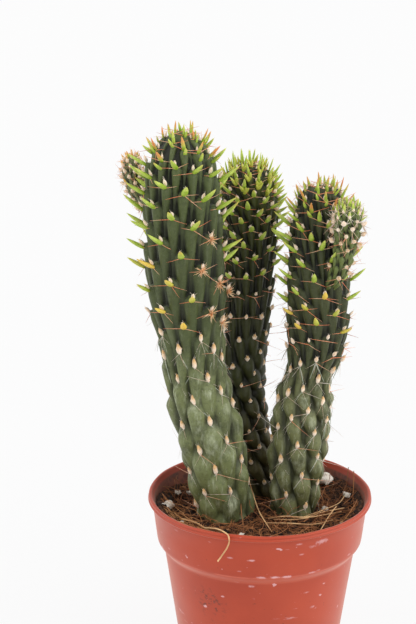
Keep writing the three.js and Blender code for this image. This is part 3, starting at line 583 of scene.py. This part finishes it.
class Stem:
    """One stem or shoot. Its stations are (x, y, z, radius), and its areoles are numbered, crown first.

    By distance from the crown, patch is the skin that an areole has, wind and gather turn and bunch the
    areoles, and skew tilts their rings. steps leads down a young ridge and an old one.
    """

    def __init__(self, stations, turn, first, patch, wind=STRAIGHT, skew=STRAIGHT, gather=STRAIGHT,
                 steps=(21, 8), aged=NEVER):
        self.stations = np.array(stations, float)
        self.step, self.slack = steps
        self.aged, self.turn = aged, turn
        spans = np.linalg.norm(np.diff(self.stations, axis=0), axis=1)
        self.at = np.concatenate(([0], np.cumsum(spans)))
        self.length = self.at[-1]
        order = np.arange(len(self.at))
        above, below = np.maximum(order - 1, 0), np.minimum(order + 1, order[-1])
        change = self.stations[below] - self.stations[above]
        self.slope = change / (self.at[below] - self.at[above])[:, None]
        # Each areole takes its own patch of skin, a golden turn further round than the one before.
        rungs = np.arange(0, self.length, RUNG)
        radius = self.point(rungs)[:, 3]
        patches = np.interp(rungs, *zip(*patch))
        skin = tau * RUNG * (radius[1:] + radius[:-1])
        taken = np.concatenate(([0], np.cumsum(skin / (patches[1:] + patches[:-1]))))
        number = np.arange(0.5, taken[-1] + self.step)
        middle = np.interp(number, taken, rungs)
        middle += np.maximum(number - taken[-1], 0) * patches[-1] / (tau * radius[-1])
        self.patch = np.interp(middle, *zip(*patch))
        self.angle = radians(first) + turn * GOLDEN * number
        self.angle += np.radians(np.interp(middle, *zip(*wind)))
        self.angle -= np.interp(middle, *zip(*gather)) * np.cos(self.angle)
        tilt = np.interp(middle, *zip(*skew)) * np.interp(middle, rungs, radius)
        self.distance = middle + tilt * np.cos(self.angle)
        self.count = int(taken[-1])

    def point(self, d):
        d = np.clip(np.asarray(d, float), 0, self.length)
        i = np.clip(np.searchsorted(self.at, d) - 1, 0, len(self.at) - 2)
        span = (self.at[i + 1] - self.at[i])[..., None]
        t = (d - self.at[i])[..., None] / span
        a, b = self.stations[i], self.stations[i + 1]
        left, right = self.slope[i] * span, self.slope[i + 1] * span
        eased_in = (3 * (b - a) - 2 * left - right) * t**2
        return a + left * t + eased_in + (2 * (a - b) + left + right) * t**3

    def axes(self, d, angle):
        """Middle, radius, straight out, the way the skin faces, and uphill along the skin."""
        here = self.point(d)
        up = self.point(d - 5)[..., :3] - self.point(d + 9)[..., :3]
        up /= np.linalg.norm(up, axis=-1, keepdims=True)
        back = np.cross(up, [1, 0, 0])
        back /= np.linalg.norm(back, axis=-1, keepdims=True)
        across = np.cross(back, up)
        wider = (self.point(d + 0.4)[..., 3] - self.point(d - 0.4)[..., 3]) / 0.8
        wider = np.minimum(wider, 1)[..., None]
        steep = np.sqrt(1 - wider**2)
        outward = across * np.cos(angle)[..., None] + back * np.sin(angle)[..., None]
        facing, uphill = outward * steep + up * wider, up * steep - outward * wider
        return here[..., :3], here[..., 3:], outward, facing, uphill

    def reach(self, i, steps):
        """How far round and how far down the areole lies that comes so many steps after this one."""
        turns_back = self.turn * tau * round(steps * GOLDEN / tau)
        around = self.angle[i + steps] - self.angle[i] - turns_back
        return around, self.distance[i + steps] - self.distance[i]

    def ridges(self, d, angle):
        """How far the ridges stand up at each point, as a share of their full height."""
        radius = self.point(d)[..., 3]
        height = SMOOTH_CROWN * (1 - eased(2, 8, d))
        for i in range(len(self.distance) - self.step):
            # A young ridge runs down between its neighbours. An old one has slackened and runs aslant.
            aged = float(eased(*self.aged, self.distance[i]))
            wide, narrowing, arch = (young + change * aged for young, change in RIDGE_FORM)
            young_way, old_way = self.reach(i, self.step), self.reach(i, self.slack)
            around, fall = (a + (b - a) * aged for a, b in zip(young_way, old_way))
            near = (d > self.distance[i] - 6) & (d < self.distance[i] + fall + 2)
            if not near.any():
                continue
            r = radius[near]
            x = ((angle[near] - self.angle[i] + pi) % tau - pi) * r
            y = d[near] - self.distance[i]
            run = around * r
            whole = np.hypot(run, fall)
            along, side = (x * run + y * fall) / whole, (x * fall - y * run) / whole
            full = wide * self.patch[i] / whole
            # It starts a little above the areole with a round head, and narrows to its tail.
            start = 0.5 * full
            head = np.clip((along + start) / (1.2 * full), 0, 1)
            share = np.clip(along / whole, 0, 1)
            half = full * (1 - narrowing * np.clip((share - 0.08) / 0.7, 0, 1))
            half = half * np.sqrt(1 - (1 - head) ** 2) + 1e-6
            # A young crest is high at once and sinks evenly. An old one swells first and holds on longer.
            fresh = (0.86 + 0.14 * eased(-0.4, 0.9, along / full)) * (1 - 0.92 * share**0.8)
            swollen = (0.3 + 0.7 * eased(-0.3, 1.2, along / full)) * (1 - 0.8 * share**1.6)
            crest = np.where((along < -start) | (along > whole), 0, fresh + (swollen - fresh) * aged)
            lift = crest * np.clip(1 - (side / half) ** 2, 0, 1) ** arch
            height[near] = np.maximum(height[near], lift)
        return height

    def skin(self, d, angle):
        """Points of the skin, with how far each stands out of its grooves."""
        middle, radius, outward, facing, _ = self.axes(d, angle)
        share = self.ridges(d, angle)
        pitch = tau * radius[..., 0] / self.step
        full = RIDGE_HEIGHT * pitch * (1 + DEEPER_WHEN_OLD * eased(*self.aged, d))
        return middle + outward * radius + facing * (full * (share - MEAN_SHARE))[..., None], share


FULL_AGE = 165


def grown(stem, cell, tender=0):
    """The skin of a stem: a grid wrapped round it, drawn together at the crown and the foot."""
    widest = stem.stations[:, 3].max()
    around, rows = round(tau * widest / cell), round(stem.length / cell)
    bm = bmesh.new()
    bmesh.ops.create_grid(bm, x_segments=around, y_segments=rows, size=0.5)
    mesh = meshed(bm, "skin")
    flat = np.empty(len(mesh.vertices) * 3)
    mesh.vertices.foreach_get("co", flat)
    flat = flat.reshape(-1, 3)
    angle, d = tau * (flat[:, 0] + 0.5), stem.length * (flat[:, 1] + 0.5)
    place, share = stem.skin(d, angle)
    for end, at in ((d < 1e-4, 0), (d > stem.length - 1e-4, stem.length)):
        place[end] = stem.point(at)[:3]
    mesh.vertices.foreach_set("co", (place * MM).ravel())
    marks = {"ridge": share, "age": d / FULL_AGE, "tender": [tender] * len(d)}
    for name, values in marks.items():
        mesh.attributes.new(name, "FLOAT", "POINT").data.foreach_set("value", values)
    return mesh


def welded(meshes, name):
    bm = bmesh.new()
    for mesh in meshes:
        bm.from_mesh(mesh)
    return meshed(closed(bm, 2e-6), name)


def waxy_skin(name, young, grown_up, old, shade_and_mottle, bloom, ages, shoot=None):
    """Living skin, with painted shade in its grooves. With age, pale wax and corky scuffs haze it over."""
    skin = Finish(name, shine=0.35)
    ridge, age = skin.attribute("ridge"), skin.attribute("age")
    colour = skin.blend(young, grown_up, age.between(0.02, 0.3))
    ageing = (age + skin.grain(55, 2) * 0.16 - 0.08).between(*ages)
    colour = skin.blend(colour, old, ageing)
    if shoot:
        colour = skin.blend(colour, shoot, skin.attribute("tender"))
    # The dark colour mottles the skin at random, as its own darker tone, and below it paints the shade in the
    # grooves.
    patchy = skin.grain(130, 4, 0.6)
    colour = skin.blend(colour, shade_and_mottle, patchy.between(0.42, 0.68) * (0.2 + 0.3 * ageing))
    mottle = skin.grain(900, 4, 0.65)
    colour = skin.blend(colour, shade_and_mottle, mottle.between(0.45, 0.75) * 0.4)
    flecks = skin.grain(2300, 2, 0.5).between(0.62, 0.72)
    haze = skin.grain(150, 6, 0.72, stretch=(1, 1, 0.5)).between(0.5, 0.72)
    streaks = skin.grain(620, 4, 0.65, stretch=(1, 1, 0.12)).between(0.53, 0.7)
    dusty = haze * (0.07 + 0.65 * ageing) + streaks * (0.08 + 0.42 * ageing)
    dusty = dusty + flecks * (0.12 + 0.1 * ageing)
    colour = skin.blend(colour, bloom, dusty * (0.3 + 0.7 * ridge))
    # The grooves are painted dark: painted shade where light can't reach down into them, with the skin's own
    # darker tone there.
    groove_shade = 1 - ridge.between(0.08, 0.6)
    colour = skin.blend(colour, shade_and_mottle, groove_shade * (0.96 - 0.24 * ageing))
    skin.colour(colour)
    skin.roughness(0.42 + mottle * 0.14 + haze * 0.14)
    skin.relief(mottle * 0.6 + streaks * 0.35, 0.14, 0.6)
    return skin


LEAF_OUTLINE = [(0, 0), (0.32, 0), (0.46, 0.07), (0.5, 0.22),
                (0.48, 0.42), (0.38, 0.64), (0.2, 0.86), (0, 1)]


def leaf_shape():
    """A fleshy awl-shaped leaf 1 long and 1 wide: spun, flattened, and curved up a little."""
    bm = turned(LEAF_OUTLINE, 7, 1)
    along = bm.verts.layers.float.new("along")
    for v in bm.verts:
        v[along] = v.co.z
        v.co.y = v.co.y * 0.62 + 0.28 * v.co.z**2
    return meshed(bm, "leaf")


def wool_shape(seed):
    """A teardrop of wool, 1 tall: a lumpy ball drawn up to a soft point."""
    bm = bmesh.new()
    bmesh.ops.create_uvsphere(bm, u_segments=8, v_segments=6, radius=0.5)
    up = bm.verts.layers.float.new("along")
    for v in bm.verts:
        v[up] = v.co.z + 0.5
        swell = 1 + 0.45 * noise.noise(v.co * 4.1 + Vector((seed * 2.3, seed, 0)))
        narrow = 1 - 0.75 * max(v.co.z, 0)
        v.co = Vector((v.co.x * swell * narrow, v.co.y * swell * narrow, v.co.z + 0.42))
    return meshed(bm, "wool")


LEAF = leaf_shape()
WOOL = [wool_shape(seed) for seed in range(4)]

leafy = Finish("leaf_skin", shine=0.45)
along, ripe, red = (leafy.attribute(name) for name in ("along", "ripe", "red"))
paler = (leafy.grain(500, 2) * 0.6 + along * 0.25).between(0.2, 0.7)
colour = leafy.blend((142, 176, 38), (208, 220, 108), paler)
blush = (along + red * 0.9 - 0.25).between(0.55, 1.15) * (0.25 + 0.75 * red)
colour = leafy.blend(colour, (230, 136, 80), blush)
leafy.colour(leafy.blend(colour, (240, 202, 88), ripe))
leafy.roughness(0.4 + leafy.grain(800) * 0.14)
leafy.relief(leafy.grain(1500, 3), 0.08, 0.4)

woolly = Finish("areole_wool", shine=0.2, Sheen_Weight=0.6)
top, fade = woolly.attribute("along"), woolly.attribute("fade")
paler = woolly.grain(1600, 3).between(0.35, 0.65)
fleece = woolly.blend((246, 214, 182), (254, 238, 216), paler)
fleece = woolly.blend(fleece, (220, 172, 104), fade * top.between(0.35, 0.9) * 0.9)
rooted = (1 - top.between(0, 0.25)) * (0.5 - 0.4 * fade)
woolly.colour(woolly.blend(fleece, (186, 138, 104), rooted))
woolly.roughness(0.85 + woolly.grain(900) * 0.1)
woolly.relief(woolly.grain(3200, 2, stretch=(1, 1, 0.3)), 0.25, 0.9)

hair = Finish("wool_hair", Roughness=0.6, shine=0.3)
hair.colour(hair.blend((236, 216, 200), (250, 242, 232), hair.grain(700)))
THREADS = {"wool_hairs": hair}
# Two colours of each kind of spine, how fine its streaks are, where they part, its roughness and shine.
SPINES = {
    "young_spines": ((232, 132, 90), (242, 196, 160), 260, (0.4, 0.65), 0.45, 0.4),
    "old_spines": ((206, 176, 150), (232, 222, 208), 240, (0.38, 0.62), 0.5, 0.4),
    "dry_bristles": ((236, 178, 122), (254, 230, 196), 500, (0.35, 0.65), 0.6, 0.3),
    "papery_spines": ((150, 160, 138), (188, 194, 178), 300, (0.38, 0.62), 0.7, 0.3),
}
for kind, (first, second, per_metre, parting, rough, shine) in SPINES.items():
    THREADS[kind] = spiny = Finish(kind, Roughness=rough, shine=shine)
    streaks = spiny.grain(per_metre).between(*parting)
    spiny.colour(spiny.blend(first, second, streaks))


def pointing(direction, flat_side):
    """A turn that lays a shape's height along a direction, and its width along the flat side."""
    z = Vector(direction).normalized()
    x = Vector(flat_side)
    x = (x - z * x.dot(z)).normalized()
    return Matrix((x, z.cross(x), z)).transposed().to_4x4()


Seat = namedtuple("Seat", "place facing uphill side outward up")
SUNK_LEAF, SUNK_WOOL = 0.35, 0.25
HAIR_HALVES = (0.05, 0.04, 0.02)


class Dressing:
    """What the areoles of one stem carry, gathered as it is placed."""

    def __init__(self, seed):
        self.draw = random.Random(seed)
        self.pick = self.draw.uniform
        self.leaves, self.wool = bmesh.new(), bmesh.new()
        self.lines = {kind: [] for kind in THREADS}

    def seat(self, stem, i, shift=0):
        """The place of an areole and the ways from it: off the skin and along it, and off the stem."""
        d, angle = np.array([stem.distance[i] + shift]), np.array([stem.angle[i]])
        place, _ = stem.skin(d, angle)
        _, _, outward, facing, uphill = (part[0] for part in stem.axes(d, angle))
        up = np.cross(outward, np.cross(uphill + facing, outward))
        facing, uphill = Vector(facing), Vector(uphill)
        side = uphill.cross(facing)
        return Seat(Vector(place[0]), facing, uphill, side, Vector(outward), Vector(up).normalized())

    def leaf(self, seat, length, width, rise, ripe=0, red=0, sway=0):
        way = seat.outward * cos(rise) + seat.up * sin(rise) + seat.side * sway
        at = seat.place - seat.facing * SUNK_LEAF
        place = posed(at, (width, width, length), pointing(way, seat.side))
        stamp(self.leaves, LEAF, place, ripe=ripe, red=red)

    def tuft(self, seat, tall, wide, rise, fade, hairs):
        place, facing, uphill, side = seat[:4]
        way = facing * cos(rise) + uphill * sin(rise)
        spun = pointing(way, side) @ Matrix.Rotation(self.pick(0, 6), 4, "Z")
        at = place - facing * SUNK_WOOL
        stamp(self.wool, self.draw.choice(WOOL), posed(at, (wide, wide, tall), spun), fade=fade)
        pick = self.pick
        for _ in range(hairs):
            lean = side * pick(-0.7, 0.7) + uphill * pick(-0.3, 0.5)
            start = at + way * tall * pick(0.2, 0.7)
            tip = start + (way + lean * 0.8).normalized() * tall * pick(0.35, 0.75)
            bend = (start + tip) / 2 + side * pick(-0.15, 0.15)
            self.lines["wool_hairs"].append([*zip((start, bend, tip), HAIR_HALVES)])

    def spine(self, seat, heading, rise, length, half, kind="old_spines"):
        """heading is measured round the areole from uphill, rise from the skin."""
        place, facing, uphill, side = seat[:4]
        flat = uphill * cos(heading) + side * sin(heading)
        way = flat * cos(rise) + facing * sin(rise)
        sag = flat.cross(facing) * self.pick(-0.06, 0.06) - facing * self.pick(0, 0.1)
        line = []
        for share in (0, 0.34, 0.68, 1):
            point = place + way * length * share + sag * length * share * share
            line.append((point, half * (1 - 0.78 * share)))
        self.lines[kind].append(line)

    def finish(self, name, slot):
        made = [shown(name + "_leaves", meshed(self.leaves, "leaves"), leafy)]
        made.append(shown(name + "_wool", meshed(self.wool, "wool"), woolly))
        for kind, lines in self.lines.items():
            if lines:
                made.append(threads(name + "_" + kind, lines, THREADS[kind]))


front_stem = Stem(
    [[-29.9, -8, 215.2, 0.5], [-29.9, -7.9, 213.3, 5], [-29.8, -7.8, 209.9, 8.6], [-29.6, -7.5, 205.3, 11.6],
     [-29.3, -7.1, 198.4, 13.3], [-28.9, -6.3, 183, 14.2], [-27.6, -4.9, 155, 14.4], [-25.8, -4, 136.1, 12.4],
     [-23.8, -3.2, 120.2, 12.4], [-18.8, -2.1, 97, 13.2], [-13.9, -0.9, 71, 11.7], [-12.6, -0.4, 61, 10.2],
     [-12.2, -0.2, 54, 7.6]],
    turn=-1, first=289.91,
    patch=[(0, 14), (10, 39.3), (20, 61.6), (35, 96.8), (60, 122.8), (90, 96.8), (115, 199.8), (158, 162.9)],
    wind=[(0, -1.8), (40, -4.4), (80, -1.7), (120, 0.2), (158, 8.1)],
    skew=[(0, -0.29), (30, -0.25), (60, -0.03), (90, -0.03), (120, -0.59), (158, -0.22)],
    gather=[(0, 0.11), (30, 0.11), (70, 0.17), (110, 0.37), (158, 0.45)],
    aged=(68, 100),
)
front_bud = Stem(
    [[-47.7, 9, 203, 0.4], [-47.7, 8.9, 201.2, 2.8], [-47.4, 8, 195.7, 3.8], [-46, 6.3, 191, 3.3],
     [-43.6, 4, 187, 2.8], [-39.6, 0.6, 182.5, 2.6], [-35.5, -3, 179.5, 2.4]],
    turn=1, first=20, patch=[(0, 4), (15, 10), (40, 12)], steps=(13, 8),
)
skin = waxy_skin("front_skin", young=(86, 98, 54), grown_up=(74, 84, 45), old=(112, 120, 76),
                 shade_and_mottle=(18, 22, 9), bloom=(178, 184, 156), ages=(0.44, 0.62), shoot=(122, 128, 86))
stem_and_bud = [grown(front_stem, 0.48), grown(front_bud, 0.5, tender=0.8)]
front = shown("front_stem_skin", welded(stem_and_bud, "front_stem_skin"), skin)
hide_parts("stem_front")

DRIED = {49, 57, 62, 67, 75, 70}
RIPE = {55: 0.9, 60: 0.45, 65: 0.3, 63: 0.1, 68: 0.8, 73: 1, 58: 0.3}
BARE_BELOW = 68.5
DRY_BRISTLES = 56


def clothe(dress, stem, leaves_to, old_from, leaf, tuft, dried=(), ripe=None, spines=4, crowd=1):
    """Gives a stem its leaves, wool and spines, areole by areole from crown to foot.

    leaf is (length at the crown, full length, width), and tuft is (height, width) young and then old.
    """
    ripe, draw, pick = ripe or {}, dress.draw, dress.pick
    for i in range(stem.count):
        d = stem.distance[i]
        seat = dress.seat(stem, i, shift=0.2)
        if seat.place.z < BARE_BELOW:
            continue
        young = float(eased(2, 24, d))
        fade = float(eased(old_from - 6, old_from + 8, d))
        if (d < leaves_to or i in ripe) and i not in dried:
            shrunk = 0.3 * leaf[1] * float(eased(leaves_to - 20, leaves_to, d))
            length = leaf[0] + (leaf[1] - leaf[0]) * young - shrunk
            rise = radians(84 - 52 * float(eased(2, 19, d)) + pick(-7, 7))
            width = leaf[2] * (0.45 + 0.55 * young)
            red = pick(0.2, 0.9) / crowd if d < 14 else pick(0, 0.35)
            sway = pick(-0.2, 0.2)
            dress.leaf(seat, length * pick(0.84, 1.16), width, rise, ripe.get(i, 0), red, sway)
            for _ in range(crowd if d < 15 else 0):
                beside = dress.seat(stem, i, shift=pick(1, 3))
                aside = sway + draw.choice((-0.4, 0.4)) * pick(0.5, 1.2)
                short = length * pick(0.5, 0.85)
                dress.leaf(beside, short, width, rise - 0.15, 0.06 * (crowd - 1), red * 0.4, aside)
        if d > 3:
            tall, wide = (young + (old - young) * fade for young, old in zip(tuft[:2], tuft[2:]))
            beside = seat.side * pick(-0.5, 0.5) * (1 - fade)
            where = seat._replace(place=seat.place + seat.uphill * (1 - fade) + beside)
            size = pick(0.85, 1.15) * (0.6 + 0.4 * young)
            dress.tuft(where, tall * size, wide * size, 0.95 + 0.45 * fade, fade, 6)
        if i in dried:
            for _ in range(DRY_BRISTLES):
                heading, rise = draw.gauss(-0.9, 1), pick(0.1, 1.4)
                dress.spine(seat, heading, rise, pick(1.2, 4.3), 0.15, "dry_bristles")
        if d < old_from:
            for heading in (1.5, -1.5, 2.2)[: 2 + (draw.random() < 0.35)]:
                heading += pick(-0.35, 0.35)
                reach = leaf[1] * pick(0.55, 1)
                dress.spine(seat, heading, pick(0.1, 0.5), reach, 0.13, "young_spines")
        else:
            for k in range(spines):
                heading = pi + (k - (spines - 1) / 2) * 0.5 + pick(-0.25, 0.25)
                dress.spine(seat, heading, pick(0.12, 0.45), pick(4, 6.5), 0.075)
            for _ in range(spines // 2):
                heading, rise = pi + pick(-0.7, 0.7), pick(0, 0.2)
                dress.spine(seat, heading, rise, pick(5, 9), 0.2, "papery_spines")
            if draw.random() < 0.6:
                heading = draw.choice((1.5, -1.5)) + pick(-0.3, 0.5)
                kind = draw.choice(("old_spines", "young_spines")) if spines else "young_spines"
                dress.spine(seat, heading, pick(0.2, 0.6), pick(8, 13), 0.1, kind)


dress = Dressing(5)
pick = dress.pick
clothe(dress, front_stem, 66, 76, (4.6, 8.4, 2.5), (3, 1.25, 4.2, 1.8), DRIED, RIPE)
for i in range(front_bud.count):
    seat = dress.seat(front_bud, i)
    d = front_bud.distance[i]
    if d >= 24:
        continue
    if d < 4 or i % 7 == 0:
        dress.leaf(seat, 2.8, 1.1, 1.1, 0.15, 0.7)
    dress.tuft(seat, 1.9, 1.4, 0.8, 0.3, 6)
    for _ in range(3):
        heading, rise = pick(0, 6.28), pick(0.4, 0.9)
        dress.spine(seat, heading, rise, pick(2, 4), 0.08, "young_spines")
dress.finish("front_stem", "front_skin")

# ------------------------
# Back stem: the darkest one, partly through painted shade, as it stands behind the gap between the other two.
# It is built like the front stem, with closer and smaller ridges. Short leaves crowd at its crown, and there
# are none low down.
back_stem = Stem(
    [[-4.4, 24, 196.9, 0.5], [-4.7, 24, 195.4, 5.6], [-4.6, 23.8, 190.6, 9.4], [-4.2, 23.5, 181, 10.8],
     [-5, 22.9, 158, 11], [-6.9, 22.1, 130, 10.9], [-7.2, 21.5, 108, 10.6], [-4.4, 21, 88, 10],
     [0.3, 20.5, 70.2, 9.1], [2.2, 20.2, 61, 8.2], [3, 20, 55, 6.2]],
    turn=1, first=214.1,
    patch=[(0, 10), (10, 23), (20, 23), (35, 36), (60, 53), (90, 60), (115, 60), (150, 90)],
    wind=[(0, 1.5), (50, -1), (100, 1.2), (149, -1.7)],
    skew=[(0, 0.23), (30, -0.22), (60, 0.76), (90, -0.1), (120, 0.03), (149, 0)],
    aged=(60, 90),
)
# Darker colours than the other stems and a dimmer bloom: partly its own darker skin, and partly painted
# shade, as it stands behind the other two.
skin = waxy_skin("back_skin", young=(66, 72, 26), grown_up=(54, 58, 24), old=(92, 84, 50),
                 shade_and_mottle=(17, 19, 8), bloom=(128, 130, 92), ages=(0.5, 0.85))
back = shown("back_stem_skin", welded([grown(back_stem, 0.46)], "back_stem_skin"), skin)
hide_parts("stem_back")
dress = Dressing(9)
clothe(dress, back_stem, 48, 60, (5.6, 5.4, 2.1), (2, 1.4, 2.2, 1.6), spines=0, crowd=5)
dress.finish("back_stem", "back_skin")

# ------------------------
# Right stem: it stopped growing once and started again, which left a waist low down. A club-shaped arm
# grows from its front right, with a white tangle of spines and wool on its head.
right_stem = Stem(
    [[21.4, 4.5, 192.8, 0.5], [21.5, 4.5, 190.6, 6.9], [21.5, 4.4, 184.2, 9.2], [20.9, 4.2, 175.2, 10.7],
     [21.2, 4, 158, 11.5], [21.2, 3.7, 141.5, 11.7], [20.3, 3.5, 129.8, 10.6], [18.2, 3.3, 120.3, 9.1],
     [16.8, 3.2, 113, 11.2], [15.6, 3, 101, 11.9], [13.8, 2.7, 81.7, 11.1], [13.4, 2.5, 67, 9.2],
     [13.3, 2.4, 60, 8.2], [13.3, 2.4, 55, 6.2]],
    turn=1, first=24.7,
    patch=[(0, 9), (10, 25), (20, 29), (35, 71), (60, 47), (90, 69), (115, 120), (150, 78)],
    wind=[(0, 7.9), (50, 2.9), (100, -1.4), (145, -10)],
    skew=[(0, -0.22), (30, -0.48), (60, 0.22), (90, 0.22), (120, -0.05), (145, 0)],
    aged=(66, 84),
)
right_arm = Stem(
    [[30.7, -13, 190.2, 0.4], [30.5, -13, 188.6, 3.3], [30.3, -12.6, 183.6, 5.1], [29.9, -11, 176.2, 4.7],
     [28.8, -8.4, 167.6, 3.8], [27, -5.6, 161.4, 3.5], [24, -1.4, 155.5, 3.1]],
    turn=-1, first=240, patch=[(0, 5), (15, 13), (45, 18)], steps=(13, 8),
)
skin = waxy_skin("right_skin", young=(60, 66, 36), grown_up=(64, 70, 37), old=(110, 114, 72),
                 shade_and_mottle=(16, 20, 9), bloom=(178, 184, 156), ages=(0.36, 0.56), shoot=(112, 126, 68))
stem_and_arm = [grown(right_stem, 0.46), grown(right_arm, 0.5, tender=0.9)]
right = shown("right_stem_skin", welded(stem_and_arm, "right_stem_skin"), skin)
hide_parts("stem_right")
YELLOWING = {75: 0, 72: 0.9, 90: 0.9, 85: 0.3, 88: 0.6, 80: 0.2, 77: 0.4, 82: 0.8}
dress = Dressing(13)
draw, pick = dress.draw, dress.pick
clothe(dress, right_stem, 52, 68, (4.8, 8, 2.1), (2.6, 1.2, 3.4, 1.7), ripe=YELLOWING)
for i in range(right_arm.count):
    d = right_arm.distance[i]
    seat = dress.seat(right_arm, i)
    if d > 31:
        continue
    if d < 7:
        dress.leaf(seat, pick(2.4, 3.8), 1.3, 1.35, 0, 0.2, pick(-0.2, 0.3))
    if d > 11 and draw.random() < 0.4:
        continue
    plump = pick(0.8, 1.25) if d > 8 else 0.75
    fade = pick(0.3, 0.9) if d > 12 else 0
    dress.tuft(seat, 2.1 * plump, 1.5 * plump, 0.75, fade, 10)
    number, kind = (7, "old_spines") if d < 12 else (4, "young_spines")
    for _ in range(number):
        heading = pick(0, 6.28)
        reach = pick(2, 6 if d > 9 else 4.6)
        dress.spine(seat, heading, pick(0.1, 0.8), reach, 0.1, kind)
dress.finish("right_stem", "right_skin")

# ------------------------
# Studio: a plain pale floor that fills the picture, an even white surround, three broad soft lights from
# the left, the right and above, and the camera, which looks slightly down on the plant.
bm = bmesh.new()
bmesh.ops.create_grid(bm, x_segments=1, y_segments=1, size=9)
backdrop = Finish("pale_floor", Roughness=1, shine=0, Emission_Strength=0.865)
backdrop.surface.inputs["Emission Color"].default_value = (1, 1, 1, 1)
greys = {0: backdrop.grain(3), 6: (0.09, 0.09, 0.09, 1), 7: (0.088, 0.088, 0.09, 1)}
backdrop.colour(backdrop.node("Mix", {"data_type": "RGBA"}, greys, out=2))
floor = placed("studio_floor", meshed(bm, "studio_floor"))
floor.data.materials.append(backdrop.material)

scene = bpy.context.scene
scene.view_settings.view_transform = "Standard"
scene.world = bpy.data.worlds.new("surround")
scene.world.use_nodes = True
surround = scene.world.node_tree.nodes["Background"]
surround.inputs["Color"].default_value = (1, 1, 1, 1)
surround.inputs["Strength"].default_value = 0.7
# The way each light shines, and how strongly.
SUNS = {
    "left_light": ((1, 0, -0.42), 1.3),
    "right_light": ((-1, 0.3, -0.45), 1.9),
    "top_light": ((0, 0.5, -1), 0.4),
}
for name, (way, strength) in SUNS.items():
    glow = bpy.data.lights.new(name, "SUN")
    glow.energy = strength
    glow.angle = radians(80)
    placed(name, glow).rotation_euler = Vector(way).to_track_quat("-Z", "Y").to_euler()
LOOKS_DOWN = 0.2985
lens = bpy.data.cameras.new("camera")
lens.lens = 100
lens.sensor_width = 36
lens.clip_start = 0.01
camera = placed("camera", lens)
camera.location = (-0.01975, -0.61278, 0.33429)
camera.rotation_euler = (pi / 2 - LOOKS_DOWN, 0, 0)
scene.camera = camera
